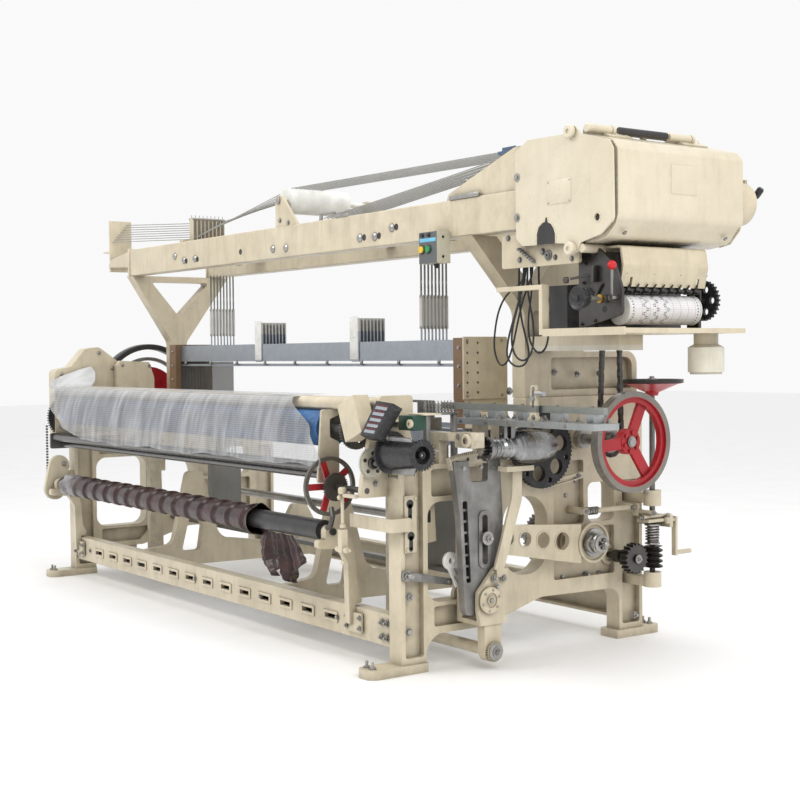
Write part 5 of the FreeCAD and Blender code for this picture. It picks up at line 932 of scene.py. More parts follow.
def side_frame_bolts():
    """The bolts, studs and feet screws on both side frames, and the bosses round the right web's bores."""
    rim = ((34, 388, 15, 14), (38, 302, 15, 16), (36, 165, 14, 0), (24, 859, 12, 10), (60, 1000, 12, 0))
    web = ((863, 293, 12, 0), (996, 292, 15, 12), (1072, 285, 15, 12), (922, 577, 10, 0), (807, 366, 9, 0),
           (938, 702, 11, 0), (1143, 690, 11, 0), (883, 640, 9, 0), (1240, 560, 10, 0), (1250, 264, 12, 0),
           (626, 263, 10, 0), (1200, 420, 10, 0))
    rear_foot = (1262, 90, 13, 10)
    under_top = ((980, 1000, 11, 8), (1180, 980, 11, 8), (560, 980, 11, 8), (760, 1020, 11, 8))
    bolt_rows("right_frame_bolts", *on_face(0, RIGHT, *rim), *on_face(WEB_FACE, RIGHT, *web),
              *on_face(0, RIGHT, rear_foot), *on_face(WEB_FACE, RIGHT, *under_top))
    bolt_rows("left_frame_bolts", *on_face(LEFT_FACE, LEFT, *rim[:4]),
              *on_face(LEFT_WEB_FACE, LEFT, *web[:10]))
    feet = Piece("foot_screws")
    for x in (-62, -22, LEFT_FACE + 22, LEFT_FACE + 62):
        for y in (-122, 1376):
            feet.bolt((x, y, 36), UP, 13, stub=16)
    feet.done("bare_steel")
    bosses = Piece("frame_bosses")
    for y, z, radius in ((909, 446, 66), (*PULLEY, 44), (*WORM_WHEEL, 44), (*LEVER_PIVOT, 50)):
        bosses.turned((WEB_FACE, y, z), RIGHT, [
            (radius, 0), (radius, 10), (radius - 5, 14), (radius * 0.62, 14), (radius * 0.58, 8)], 40)
    bosses.done("cream_paint")


def arch_details():
    """The bolts that hold the arch's stands and beams, and the beams' slots, end plates and clips."""
    right = ((805, 1164), (935, 1154), (1063, 1156), (621, 1463), (774, 1465), (560, 1090), (1180, 1090))
    left = ((560, 900), (820, 900), (470, 1650), (900, 1650))
    bolt_rows("stand_bolts", *on_face(-10, RIGHT, *((y, z, 13, 10) for y, z in right)),
              *on_face(LEFT_FACE + 10, LEFT, *((y, z, 13, 10) for y, z in left)))
    domes = Piece("beam_bolts")
    for x, z in ((-2629, 1796), (-2522, 1768), (-2392, 1769), (-1568, 1766), (-1445, 1763), (-807, 1764),
                 (-690, 1762), (-560, 1790)):
        domes.turned((x, BEAM_FRONT_Y, z), FRONT, [(19, 0), (19, 3), (13, 9), (5, 11)])
    domes.done("bare_steel")
    # Painted shade: the slots are black discs on the beam's face, standing for their dark insides.
    slots = Piece("beam_slots")
    for x, z in ((-2494, 1762), (-2364, 1764), (-774, 1764), (-658, 1763), (-528, 1791), (-1892, 1773)):
        slots.lathe((x, BEAM_FRONT_Y + 0.2, z), FRONT, [(0, 0.4), (13, 0.4), (14.5, 1.0), (14.5, 0)], 20)
    slots.done("black_paint")
    for name, y in (("front", BEAM_FRONT_Y), ("rear", 880)):
        plates = Piece(f"beam_{name}_end_plates")
        for low, high in ((-3227, -3209), (283, 301)):
            plates.box(low, high, y - 8, y + 88, BEAM_LOW - 6, BEAM_TOP + 6, 3)
        plates.done("cream_paint")
    clips = Piece("beam_clips")
    clips.box(-1010, -900, 366, 371, 1870, 1884, 2).box(-150, 40, 364, 371, 1868, 1886, 2)
    clips.rod((-90, 410, 1884), (-90, 410, 1940), 14).rod((-1190, 410, 1868), (-1190, 410, 1914), 9)
    clips.bolt((-90, 410, 1940), UP, 12).rod((-1190, 404, 1908), (-1060, 404, 1900), 6).done("bare_steel")


def front_rail_details():
    """A black strip of painted shade behind the front rail's slots, standing for the rail's rear flange in
    shadow, with the rail's bolts.
    """
    # Painted shade: a black strip where the rail's rear flange lies in shadow.
    strip = Piece("rail_slot_shade")
    strip.box(LEFT_INNER + 20, FRAME_INNER - 30, 72.3, 76, 120, 196, 1).done("black_paint")
    piece = Piece("front_rail_bolts")
    for index in range(5):
        piece.bolt((LEFT_INNER + 180 + index * 636, 5, 158), FRONT, 9)
    for x in (LEFT_INNER + 36, LEFT_INNER + 70, FRAME_INNER - 60, FRAME_INNER - 26):
        piece.bolt((x, 5, 186), FRONT, 12, stub=8).bolt((x, 5, 128), FRONT, 12, stub=8)
    for low in (-365, LEFT_FACE + 100):
        for x in (low - 8, low + 84):
            piece.bolt((x, -6, 140), FRONT, 10, stub=6).bolt((x, -6, 182), FRONT, 10, stub=6)
    piece.done("bare_steel")


# ------------------------------------------------------------------------------------------ front corner

def key_slot_plate():
    """The adjusting plate on the front post, with its two keyholes."""
    plate = Piece("key_slot_plate").box(0, 7, 16, 74, 474, 696, 2.5)
    plate.bolt((7, 66, 684), RIGHT, 7).bolt((7, 26, 486), RIGHT, 7).done("cream_paint")
    # Painted shade: the keyholes are black shapes on the plate's face, standing for their dark insides.
    holes = Piece("key_slots")
    for y, z in ((41, 664), (45, 539)):
        holes.turned((7.1, y, z), RIGHT, [(17, 0), (17, 0.5)], 22).box(7.1, 7.6, y - 9, y + 9, z - 52, z, 0)
        holes.turned((7.1, y, z - 52), RIGHT, [(9, 0), (9, 0.5)], 16)
    holes.done("black_paint")


def tension_link():
    """The flat link across the frame's opening, and the white ring with its tongue on the link's end."""
    low, high = Vector((6, 19, 386)), Vector((12, 224, 345))
    along = (high - low).normalized()
    across = Vector((0, -along.z, along.y)) * 17
    past = along * 18
    corners = (low - across - past, high - across * 0.8 + past, high + across * 0.8 + past, low + across - past)
    Piece("tension_link").plate("x", 2, 13, [(p.y, p.z) for p in corners], 2).done("cast_grey")
    bolt_rows("tension_link_bolts", ((13, 19, 386), RIGHT, 17, 12), ((13, 224, 345), RIGHT, 10, 6),
              ((13, 44, 381), RIGHT, 10, 0))
    ring = Piece("oil_bottle").lathe((16, 220, 429), RIGHT, [
        (14, 0), (31, 0), (35, 5), (35, 15), (31, 20), (14, 20), (11, 16), (11, 4), (14, 0)], 30)
    ring.plate("x", 19, 33, [(205, 402), (236, 398), (258, 346), (262, 330), (246, 322), (236, 344)], 4)
    ring.done("white_plastic")


def indicator():
    """The selector's indicator: a slim tilted box, its blank windows, their lamps and its bracket."""
    face_y = -154.0
    top_left, top_right, low_right, low_left = (66, 1072), (176, 1064), (52, 934), (-46, 938)
    box = Piece("indicator_box")
    near = [Vector((x, face_y, z)) for x, z in (top_left, top_right, low_right, low_left)]
    box.prism(near, Vector((0, 44, -22)))
    bmesh.ops.bevel(box.bm, geom=box.bm.edges[:], offset=3, segments=2, profile=0.5, affect="EDGES")
    box.done("black_plastic")
    windows = Piece("indicator_windows")
    lamps = Piece("indicator_lamps")
    drop = Vector((-9.5, -11.5))
    for row in range(5):
        share = 0.14 + 0.17 * row
        left = Vector(top_left).lerp(Vector(low_left), share)
        right = Vector(top_right).lerp(Vector(low_right), share)
        a, b = left.lerp(right, 0.16), left.lerp(right, 0.84)
        corners = [tuple(corner) for corner in (a, b, b + drop, a + drop)]
        windows.plate("y", face_y - 1.2, face_y + 0.5, corners, 0.4)
        for step in range(4):
            spot = a.lerp(b, (step + 0.5) / 4) - drop * 0.34
            lamps.lathe((spot.x, face_y, spot.y), FRONT, [(0, 1.6), (2.2, 1.4), (3.0, 0), (0, 0)], 10)
    windows.done("aluminium")
    lamps.done("red_paint")
    Piece("indicator_arm").box(-60, 60, -122, -96, 925, 950, 3).done("cream_paint")


def selector_block():
    """The dark green switch block beside the indicator, with its round boss and cream cover plate."""
    Piece("switch_block").box(78, 172, -62, 0, 958, 1014, 3).done("green_plastic", material=DARK_GREEN)
    boss = Piece("switch_boss")
    boss.turned((158, -62, 984), FRONT, [(17, 0), (17, 8), (13, 10), (6, 10), (5, 4)])
    boss.box(84, 190, -20, 60, 1014, 1020, 2).box(-40, 84, -40, 40, 985, 992, 2).done("cream_paint")
    Piece("switch_post").box(-30, 90, -8, 8, 962, 986, 2).done("bare_steel")


def spring_row():
    """The row of selvedge needles' springs on their bar, carried by two posts from the frame's top."""
    bar = Piece("spring_bar").box(-24, 6, 118, 288, 1004, 1014, 2)
    bar.box(-22, 2, 128, 148, 812, 1004, 2).box(-22, 2, 262, 282, 812, 1004, 2)
    bar.box(-34, 14, 120, 156, 812, 822, 2).box(-34, 14, 254, 290, 812, 822, 2).done("cast_grey")
    springs = Piece("selvedge_springs")
    for index in range(10):
        y = 130 + index * 16
        springs.spring((-9, y, 1014), (-9, y, 1052), 6.2, 1.3, 6, 5, 10)
        springs.rod((-9, y, 1012), (-9, y, 1060), 2.4, 8)
    springs.done("bare_steel")


def take_up_train():
    """The take-up's cream ratchet wheel with its hub and pins, the clevis' fittings and the grease handle."""
    wheel = Piece("ratchet_wheel").toothed("x", RATCHET, -66, -56, 62, 55, 44)
    wheel.done("cream_paint", material=SPECIAL["control_box"])
    hub = Piece("ratchet_hub")
    hub.turned((-66, *RATCHET), RIGHT, [(24, 0), (24, 18), (20, 22), (9, 22), (8, 16)], 24)
    for y, z in spots(5, 38, RATCHET, 0.3):
        hub.turned((-56.2, y, z), RIGHT, [(8, 0), (8, 1.2), (5, 1.2), (4, 0.6)], 14)
    hub.done("dark_steel")
    pin = Piece("ratchet_pin").rod((-104, *RATCHET), (-34, *RATCHET), 9).bolt((-34, *RATCHET), RIGHT, 9)
    pin.rod((-104, 6, 770), (-20, 6, 770), 8).bolt((-20, 6, 770), RIGHT, 10)
    pin.bolt((FRAME_INNER, -60, 744), RIGHT, 11, stub=10).bolt((FRAME_INNER, 70, 950), RIGHT, 9)
    pin.done("bare_steel")
    clevis = Piece("clevis_details")
    clevis.turned((-200, -136, 700), UP, [(15, 0), (17, 6), (17, 20), (12, 26)], 18)
    clevis.bolt((-200, -150, 686), FRONT, 9)
    clevis.lathe((-200, -136, 566), UP, [(9, 0), (12, 0), (12, 14), (9, 14)], 6)
    clevis.bolt((-160, -136, 480), RIGHT, 8, stub=6)
    clevis.turned((-200, -136, 440), DOWN, [(5, 0), (9, 4), (9, 14), (5, 18)], 12).done("cream_paint")
    handle = ((-258, -150, 640), (-236, -158, 610), (-250, -160, 572), (-280, -156, 560))
    Piece("grease_handle").tube(handle, 11, 10).done("dark_steel")


def lever_details():
    """The lever's ladder of pockets, its slot bolt and washers, the sector's holes, and the pivots' caps."""
    ladder = Piece("lever_rungs")
    for step in range(7):
        z = 372 + 44 * step
        share = (z - 352) / 320.0
        ladder.box(98.5, 116.5, 225 - 18 * share - 3, 247 - 16 * share + 3, z - 5, z + 5, 1.5)
    ladder.done("cast_grey", "rapier_lever")
    # Painted shade: the sector's holes are black discs on its face, standing for their dark insides.
    holes = Piece("sector_holes")
    for degrees in (-13, -7.5, -2, 3.6):
        turn = math.radians(degrees)
        y, z = LEVER_PIVOT[0] + 557 * math.sin(turn), LEVER_PIVOT[1] + 557 * math.cos(turn)
        holes.turned((118.05, y, z), RIGHT, [(7.5, 0), (7.5, 0.5)], 16)
    holes.done("black_paint", "rapier_lever")
    bolts = Piece("lever_bolts").turned((144, *SLOT_BOLT), RIGHT, [(27, 0), (27, 4), (15, 6), (15, 8)], 24)
    bolts.bolt((150, *SLOT_BOLT), RIGHT, 14, stub=14)
    for y in (300, 372, 215):
        bolts.bolt((124, y, 800), RIGHT, 9)
    bolts.done("bare_steel", "rapier_lever")
    Piece("pivot_cap_ring").turned((160, *LEVER_PIVOT), RIGHT, [
        (52, 0), (52, 5), (49, 8), (30, 8), (28, 3), (18, 3), (17, 10)], 40).done("cream_paint")
    screws = Piece("pivot_cap_screws")
    for y, z in spots(6, 41, LEVER_PIVOT, 0.3):
        screws.screw((168, y, z), RIGHT, 6)
    screws.bolt((170, *LEVER_PIVOT), RIGHT, 12, washer=False)
    screws.bolt((162, 336, 366), RIGHT, 12, stub=6).bolt((162, 382, 361), RIGHT, 12, stub=6)
    screws.bolt((162, 350, 330), RIGHT, 9)
    screws.turned((158, *HANGER), RIGHT, [(34, 0), (34, 5), (22, 9), (22, 14)], 26)
    screws.bolt((172, *HANGER), RIGHT, 13, stub=6).done("bare_steel")
    Piece("hanger_rim").toothed("x", HANGER, 152, 158, 40, 35, 26).done("cream_paint")


def drive_details():
    """The connecting rod's hub and rims, and the drive pulley's washer and nut."""
    hub = Piece("rod_hub_rings")
    hub.lathe((116, *CRANK_PIN), RIGHT, [
        (24, 0), (44, 0), (44, 8), (38, 12), (38, 20), (28, 24), (24, 24)], 40)
    hub.toothed("x", CRANK_PIN, 138, 152, 22, 16, 8)
    hub.turned((150, *CRANK_PIN), RIGHT, [(13, 0), (13, 16), (9, 20)]).done("bare_steel", "cam")
    rims = Piece("rod_end_ring")
    rims.lathe((84, *CRANK_PIN), RIGHT, [(72, 0), (86, 0), (86, 4), (82, 7), (76, 7), (72, 3), (72, 0)], 48)
    for share, radius in ((0.27, 27), (0.41, 30), (0.56, 33), (0.725, 37)):
        y = 300 + (CRANK_PIN[0] - 300) * share
        z = SLOT_BOLT[1] + (CRANK_PIN[1] - SLOT_BOLT[1]) * share
        rims.lathe((84, y, z), RIGHT, [
            (radius, -24), (radius + 5, -24), (radius + 5, -23), (radius + 0.8, -22), (radius + 0.8, -2),
            (radius + 5, 0.2), (radius + 5, 2), (radius, 2), (radius, -24)], 36)
    rims.done("cream_paint", "connecting_rod")
    pulley = Piece("pulley_nut").turned((74, *PULLEY), RIGHT, [(26, 0), (26, 4), (18, 6)], 28)
    pulley.bolt((80, *PULLEY), RIGHT, 16, stub=10).done("bare_steel", "drive_pulley")


def gearbox_details():
    """The rapier track's bolts, and the gearbox's bolts, bands, breather, hose and shaft end."""
    x_axis, z_axis = GEARBOX_AXIS
    bolts = Piece("gearbox_bolts")
    for y, row in ((372, (-70, 60, 150, 260, 400, 520, 640)), (452, (-70, 150, 330, 520, 680))):
        for x in row:
            bolts.bolt((x, y, 986), UP, 11, stub=8)
    for x in (-77, 83, 253, 453, 643):
        bolts.screw((x, 405, 1044), UP, 8)
    for x in (-60, 100, 240, 380, 560):
        bolts.bolt((x, 345, 974), FRONT, 7)
    bolts.bolt((355, 372, 1000), FRONT, 8).bolt((355, 372, 1108), FRONT, 7)
    for outer, inner in zip(spots(8, 54, GEARBOX_AXIS), spots(8, 41, GEARBOX_AXIS, 0.4)):
        bolts.bolt((outer[0], 346, outer[1]), FRONT, 5.5, washer=False)
        bolts.bolt((inner[0], 262, inner[1]), FRONT, 5, washer=False)
    bolts.bolt((140, 176, 925), FRONT, 9).bolt((204, 176, 925), FRONT, 9).done("bare_steel")
    neck = Piece("gearbox_bands")
    for y, radius in ((296, 38), (314, 38), (368, 43), (416, 60)):
        band = [(radius - 3, 0), (radius, 1.5), (radius, 7.5), (radius - 3, 9)]
        neck.lathe((x_axis, y, z_axis), BACK, band, 40)
    neck.turned((176, 430, 931), (-0.2, -0.1, 1), [(14, 0), (14, 10), (10, 13), (6, 13), (6, 18)], 18)
    hose = ((150, 470, 912), (132, 500, 930), (120, 540, 920), (112, 580, 880), (110, 600, 820),
            (60, 610, 790), (0, 610, 780))
    neck.tube(hose, 7, 10).done("polished_aluminium")
    Piece("bearing_block_boss").turned((x_axis, 176, 912), FRONT, [
        (26, 0), (26, 8), (22, 12), (13, 12), (12, 6)], 28).done("cream_paint")
    Piece("gearbox_shaft_nut").bolt((x_axis, 170, 912), FRONT, 11, washer=False).done("bare_steel")


def spool_details():
    """The spool's steel sheet wings, bent outward at their edges, and its bore's bearing."""
    wings = Piece("spool_wings")
    low, high, near, far = 54, 200, 66, 82
    for step in range(3):
        turn = math.radians(120 * step + 40)
        out = Vector((0, -math.sin(turn), math.cos(turn)))
        side = Vector((0, math.cos(turn), math.sin(turn)))
        middle = Vector((0, *SPOOL))
        wings.prism([middle + out * near + Vector((low, 0, 0)) + side * 2,
                     middle + out * far + Vector((low + 6, 0, 0)) + side * 5,
                     middle + out * far + Vector((high, 0, 0)) + side * 5,
                     middle + out * (near - 14) + Vector((high, 0, 0)) + side * 2], side * 1.6)
    wings.done("bare_steel", "weft_spool", smooth=False)
    bearing = Piece("spool_bearing")
    bearing.lathe((206, *SPOOL), RIGHT, [(9, -4), (14, -4), (14, 3), (12, 5), (9, 5)], 26)
    bearing.turned((206, *SPOOL), RIGHT, [(5, -2), (5, 3)], 16).done("bare_steel", "weft_spool")


def let_off_details():
    """The let-off's coil spring, the handwheel's funnel and hub, and the bracket's levers and nuts."""
    spring = Piece("let_off_spring").spring((*LET_OFF_SHAFT, 428), (*LET_OFF_SHAFT, 498), 27, 4.2, 5, 8, 16)
    spring.lathe((*LET_OFF_SHAFT, 500), UP, [(13, 0), (34, 0), (34, 6), (30, 9), (13, 9)], 30)
    spring.lathe((*LET_OFF_SHAFT, 420), UP, [(13, 0), (32, 0), (32, 6), (13, 6)], 30)
    spring.done("bare_steel", "let_off_shaft")
    Piece("let_off_wheel_funnel").lathe((*LET_OFF_SHAFT, 1058), UP, [
        (12, 0), (26, 0), (30, 14), (112, 50), (126, 52), (126, 55), (108, 55), (26, 20), (12, 20),
        (12, 0)], 48).done("red_paint", "let_off_shaft")
    hub = Piece("let_off_wheel_hub").turned((*LET_OFF_SHAFT, 1126), UP, [(20, 0), (20, 5), (12, 8)], 24)
    hub.bolt((*LET_OFF_SHAFT, 1134), UP, 12, washer=False).done("bare_steel", "let_off_shaft")
    bracket = Piece("let_off_bracket_parts").box(96, 168, 1180, 1300, 516, 530, 3)
    bracket.turned((170, 1292, 508), UP, [(16, 0), (16, 24), (12, 28)])
    bracket.rod((96, 1196, 560), (182, 1196, 560), 9).rod((150, 1160, 540), (150, 1330, 540), 8)
    bracket.box(60, 100, 1186, 1206, 540, 596, 3).done("cream_paint")
    nuts = Piece("let_off_nuts")
    for place, axis in (((170, 1292, 536), UP), ((182, 1196, 560), RIGHT), ((150, 1160, 540), FRONT),
                        ((82, 900, 578), RIGHT), ((82, 1170, 578), RIGHT), ((132, 1200, 640), UP),
                        ((100, 1262, 640), UP)):
        nuts.bolt(place, axis, 10, stub=8)
    nuts.turned((34, 712, 696), RIGHT, [(15, 0), (15, 5), (9, 7), (9, 14)])
    nuts.bolt((34, 900, 726), RIGHT, 10, stub=10).spring((70, 886, 578), (70, 980, 578), 15, 2.6, 8, 6, 14)
    nuts.done("bare_steel")
    gear = Piece("worm_wheel_nut").turned((160, *WORM_WHEEL), RIGHT, [(18, 0), (18, 4), (12, 6)], 22)
    gear.bolt((166, *WORM_WHEEL), RIGHT, 10, stub=6).done("bare_steel", "worm_wheel")
    Piece("main_shaft_cap").turned((336, *MAIN_SHAFT), RIGHT, [(16, 0), (16, 3), (9, 5)], 22).done(
        "bare_steel", "main_drive")


# ------------------------------------------------------------------------------------------ dobby

def dobby_details():
    """The dobby's bare nameplate, screws, cable notch, hinge tubes and rear lever, and its cover's parts."""
    Piece("blank_nameplate").box(462, 592, 350.2, 352.2, 1792, 1882, 0.8).done("ivory_paint")
    screws = Piece("dobby_screws")
    for x in (469, 585):
        for z in (1799, 1875):
            screws.lathe((x, 350.2, z), FRONT, [(0, 0), (3.4, 0), (3.0, 1.4), (1.6, 2.2), (0, 2.3)], 12)
    for x, z in ((291, 1912), (290, 1760)):
        screws.lathe((x, 352, z), FRONT, [(17, 0), (17, 1.2), (14, 1.6), (0, 1.6)], 20)
        screws.bolt((x, 350.4, z), FRONT, 9, washer=False)
    for y in (430, 960):
        screws.bolt((785, y, 1670), (0.6, 0, -0.8), 8)
    for y in (480, 620, 760, 900):
        screws.bolt((744, y, 1530), (1, 0, 0.2), 5, washer=False)
    screws.done("bare_steel")
    Piece("cover_hole_ring").lathe((728, 352, 1726), FRONT, [(14, -6), (19, 0.2), (19, 1.6), (14, 1.6),
                                                             (13.6, -6)], 28).done("ivory_paint")
    arch = [(402, 1648), (402, 1690), (414, 1716), (436, 1730), (448, 1732), (452, 1748), (464, 1748),
            (468, 1730), (486, 1722), (500, 1704), (508, 1684), (508, 1648)]
    # Painted shade: a black disc inside the cover's hole ring and a black sheet in the cable notch stand for
    # their dark insides.
    dark = Piece("cover_openings").turned((728, 359.6, 1726), FRONT, [(14, 0), (14, 0.6)], 24)
    dark.plate("y", 351.4, 352.6, arch, 0).done("black_paint")
    Piece("notch_rim").tube([(x, 351.2, z) for x, z in arch], 2.2, 8).done("ivory_paint")
    x, z = COVER_HINGE
    # Painted shade: a black rod in the hinge line between the tubes, where the recess lies in shadow.
    Piece("hinge_recess").rod((x, 520, z + 2), (x, 770, z + 2), 14, 24).done("black_paint")
    tubes = Piece("hinge_tubes")
    for start, end in ((360, 480), (780, 896)):
        tubes.rod((x, start, z), (x, end, z), 16.5, 28)
        tubes.turned((x, end, z), BACK, [(18, 0), (18, 14), (14, 18)], 24)
    for place in ((596, 346, 2046), (597, 344, 1622)):
        tubes.turned(place, FRONT, [(25, 0), (25, 12), (21, 16), (9, 16), (8, 11)], 28)
    tubes.rod((640, 356, 1622), (640, 470, 1622), 17, 22).done("ivory_paint")
    panel = Piece("blank_cover_panel").box(811.4, 813.6, 639, 775, 1817, 1924, 1.0)
    panel.done("ivory_paint", "dobby_main_cover")
    lip = Piece("cover_edge_roll")
    for y in (376, 1024):
        lip.tube([(640, y, 2032), (784, y, 1992), (806, y, 1966), (809, y, 1950), (809, y, 1736),
                  (800, y, 1702), (752, y, 1655), (700, y, 1646)], 3.2, 8)
    lip.done("ivory_paint", "dobby_main_cover")
    hinge = Piece("cover_hinge_screws")
    for y in (460, 540, 850, 940):
        hinge.screw((668, y, 2037), (0.35, 0, 1), 7)
    hinge.done("bare_steel", "dobby_main_cover")
    lever = ((700, 1186, 1815), (716, 1194, 1832), (732, 1199, 1850))
    Piece("rear_lever").tube(lever, 9, 12).done("dark_steel")
    Piece("rear_lever_grip").turned((728, 1198, 1845), (0.62, 0.06, 0.7), [
        (12, 0), (14, 6), (14, 36), (11, 42)], 16).done("black_plastic")


def reading_details():
    """The reading mechanism's finger rod, plate screws, knob teeth, terminals, a black panel of painted shade
    and card flanges.
    """
    rings = Piece("feeler_rings").rod((728, 440, 1470), (728, 884, 1470), 7.2, 14)
    for step in range(9):
        y = 496 + 44 * step
        rings.lathe((728, y - 7, 1470), BACK, [(7, 0), (13, 0), (13, 14), (7, 14)], 16)
        rings.box(726, 756, y - 2, y + 2, 1458, 1466, 1).rod((728, y, 1470), (748, y, 1492), 3, 8)
    rings.done("dark_steel")
    screws = Piece("reader_plate_screws")
    for x, z in ((570, 1350), (600, 1620), (640, 1600), (620, 1450), (580, 1500), (640, 1360), (590, 1570)):
        screws.bolt((x, 425, z), FRONT, 7, stub=5)
    screws.rod((560, 376, 1515), (640, 424, 1530), 5, 10)
    screws.turned((554, 372, 1512), (-0.8, -0.5, -0.1), [(10, 0), (12, 5), (12, 16), (8, 20)], 14)
    screws.rod((640, 418, 1440), (680, 418, 1495), 4.5, 10).rod((600, 414, 1480), (660, 414, 1430), 4, 8)
    screws.box(640, 655, 400, 425, 1500, 1560, 2).done("dark_steel")
    knob = Piece("knob_cone").turned((690, 338, 1438), FRONT, [
        (18, 0), (30, 14), (40, 38), (43, 50), (40, 53), (30, 48), (14, 46), (12, 50)], 36)
    for step in range(12):
        turn = math.tau * step / 12
        out = Vector((math.cos(turn), 0, math.sin(turn)))
        middle = Vector((690, 0, 1438))
        knob.rod(middle + out * 22 + Vector((0, 332, 0)), middle + out * 41 + Vector((0, 290, 0)), 5.5, 10)
    knob.done("black_plastic", "hand_knob")
    row = Piece("terminal_row")
    for step in range(7):
        row.turned((273 + 13 * step, 384, 1640 - 8 * step), (0.2, -1, 0.1), [
            (7, 0), (7, 4), (5.5, 5), (5.5, 9), (7, 10), (7, 14), (5.5, 15), (5.5, 20), (3, 23)], 12)
    for x, z, size in ((267, 1602, 10), (400, 1625, 11), (470, 1600, 9), (560, 1590, 9), (200, 1690, 10)):
        row.bolt((x, 384, z), FRONT, size)
    row.turned((432, 384, 1610), FRONT, [(20, 0), (20, 3), (13, 5), (13, 9), (5, 9), (4, 4)], 24)
    row.done("cast_grey")
    # Painted shade: a black panel where the recess behind the platform lies in shadow.
    Piece("platform_shade").box(338, 560, 470, 474, 1322, 1500, 1).done("black_paint")
    flanges = Piece("card_end_flanges")
    for y in (494, 869):
        flanges.turned((CARD_AXIS[0], y, CARD_AXIS[1]), BACK, [(52, 0), (57, 2), (57, 6), (52, 7)], 40)
    flanges.done("white_plastic", "card_cylinder")


def box_details():
    """The control box's blank strip, its buttons' bezels, and its gland and screws."""
    strip = Piece("blank_strip").box(-264, -156, 298.6, 300.4, 1702, 1717, 0.4)
    strip.done("blue_plastic", material=PALE_BLUE)
    trim = Piece("button_bezels")
    for x in (-248, -204):
        trim.lathe((x, 300, 1672), FRONT, [(14.6, 0), (19, 0), (19, 3), (16, 5), (14.6, 5), (14.6, 0)], 24)
        trim.turned((x + 2, 300, 1730), FRONT, [(9, 0), (9, 7), (6, 9)], 16)
    trim.done("black_plastic")
    gland = Piece("control_conduit").turned((-210, 344, 1614), DOWN, [(12, 0), (12, 8), (9, 10), (9, 18)], 16)
    gland.bolt((-150, 332, 1640), RIGHT, 6, washer=False).bolt((-150, 332, 1720), RIGHT, 6, washer=False)
    gland.done("black_plastic")


# ------------------------------------------------------------------------------------------ harness

def heald_details():
    """The heald frames' hooks and springs, and the front frame's wires, clips and straps."""
    for index in range(8):
        y = 561 + 20 * index
        hooks = Piece(f"heald_hooks_{index + 1}")
        for x in (-2575, -610):
            for z in (1362, 1500):
                hooks.turned((x, y, z), FRONT, [(7, 0), (7, 6.4)], 10)
            hooks.tube([(x, y, 1508), (x + 6, y, 1522), (x - 6, y, 1540), (x + 5, y, 1560), (x, y, 1580),
                        (x, y, 1700)], 2.0, 6)
            hooks.spring((x, y, 742), (x, y, 846), 6.5, 1.2, 14, 5, 7)
        hooks.done("bare_steel", f"heald_frame_{index + 1}")
    wires = Piece("heald_wires")
    count = 150
    for step in range(count):
        x = -2950 + 620 * step / (count - 1)
        wires.box(x - 0.6, x + 0.6, 560.4, 561.6, 926, 1214, 0)
    wires.done("dark_steel", "heald_frame_1")
    clips = Piece("heald_clips")
    for step in range(9):
        x = -2880 + 300 * step
        clips.box(x, x + 16, 547, 556, 1196, 1216, 2).bolt((x + 8, 547, 1206), FRONT, 5, washer=False)
    clips.done("bare_steel", "heald_frame_1")
    straps = Piece("heald_bar_straps")
    for x in (-2042, -1137):
        straps.box(x - 34, x + 34, 551, 555.5, 1222, 1426, 1.5)
        straps.bolt((x, 551, 1250), FRONT, 6, washer=False).bolt((x, 551, 1330), FRONT, 6, washer=False)
    straps.done("white_plastic", "heald_frame_1")


def comb_details():
    """The guide blocks' screws, the left comb's pins, the upper roller's bolts and the end comb's pegs."""
    block = Piece("guide_block_screws")
    for z in (960, 1030, 1110, 1190, 1270):
        block.bolt((-292, 520, z), FRONT, 8).bolt((-2978, 520, z), FRONT, 8)
    for y in (530, 720):
        block.bolt((-246, y, 1300), RIGHT, 7, washer=False).bolt((-246, y, 1066), RIGHT, 7, washer=False)
    block.done("bare_steel")
    combs = Piece("comb_pins")
    for step in range(9):
        combs.rod((-2570, 444 + 24 * step, 1996), (-2570, 444 + 24 * step, 2022), 2.2, 8)
    for x in (-2590, -2550):
        combs.rod((x, 440, 2000), (x, 640, 2000), 5, 10)
    combs.bolt((-1508, 376, 1900), FRONT, 10).bolt((-1430, 376, 1884), FRONT, 10)
    combs.turned((-1520.5, 376, 1998), FRONT, [(18, 0), (18, 6), (12, 9)]).done("bare_steel")
    pegs = Piece("end_comb_pegs")
    for step in range(8):
        pegs.turned((-3506, 392 + 13 * step, 1936 + 15 * step), LEFT, [
            (5, 0), (5, 10), (8, 12), (8, 20), (5, 22)], 10)
    pegs.bolt((-3506, 400, 1900), LEFT, 9).bolt((-3506, 480, 1840), LEFT, 9).done("bare_steel")


LOWER_ROLLER_X = -1290.0
LOWER_ROLLER_Z = 1862.0
LOWER_CORDS = 10
LOWER_CORD_R = 2.6


def lower_roller():
    """The smaller roller behind the front beam, which carries the lower band of harness cords."""
    x, z = LOWER_ROLLER_X, LOWER_ROLLER_Z
    Piece("lower_cord_roller").turned((x, 470, z), BACK, [(34, 0), (36, 4), (36, 200), (34, 204)], 36).done(
        "white_plastic")
    stands = Piece("lower_roller_stands")
    for y in (452, 690):
        stands.box(x - 26, x + 26, y, y + 10, BEAM_LOW + 70, z + 16, 3)
        stands.turned((x, y - 6, z), BACK, [(14, 0), (14, 22)], 18)
    stands.box(x - 40, x + 40, 450, 880, BEAM_LOW + 60, BEAM_LOW + 72, 2).done("cream_paint")


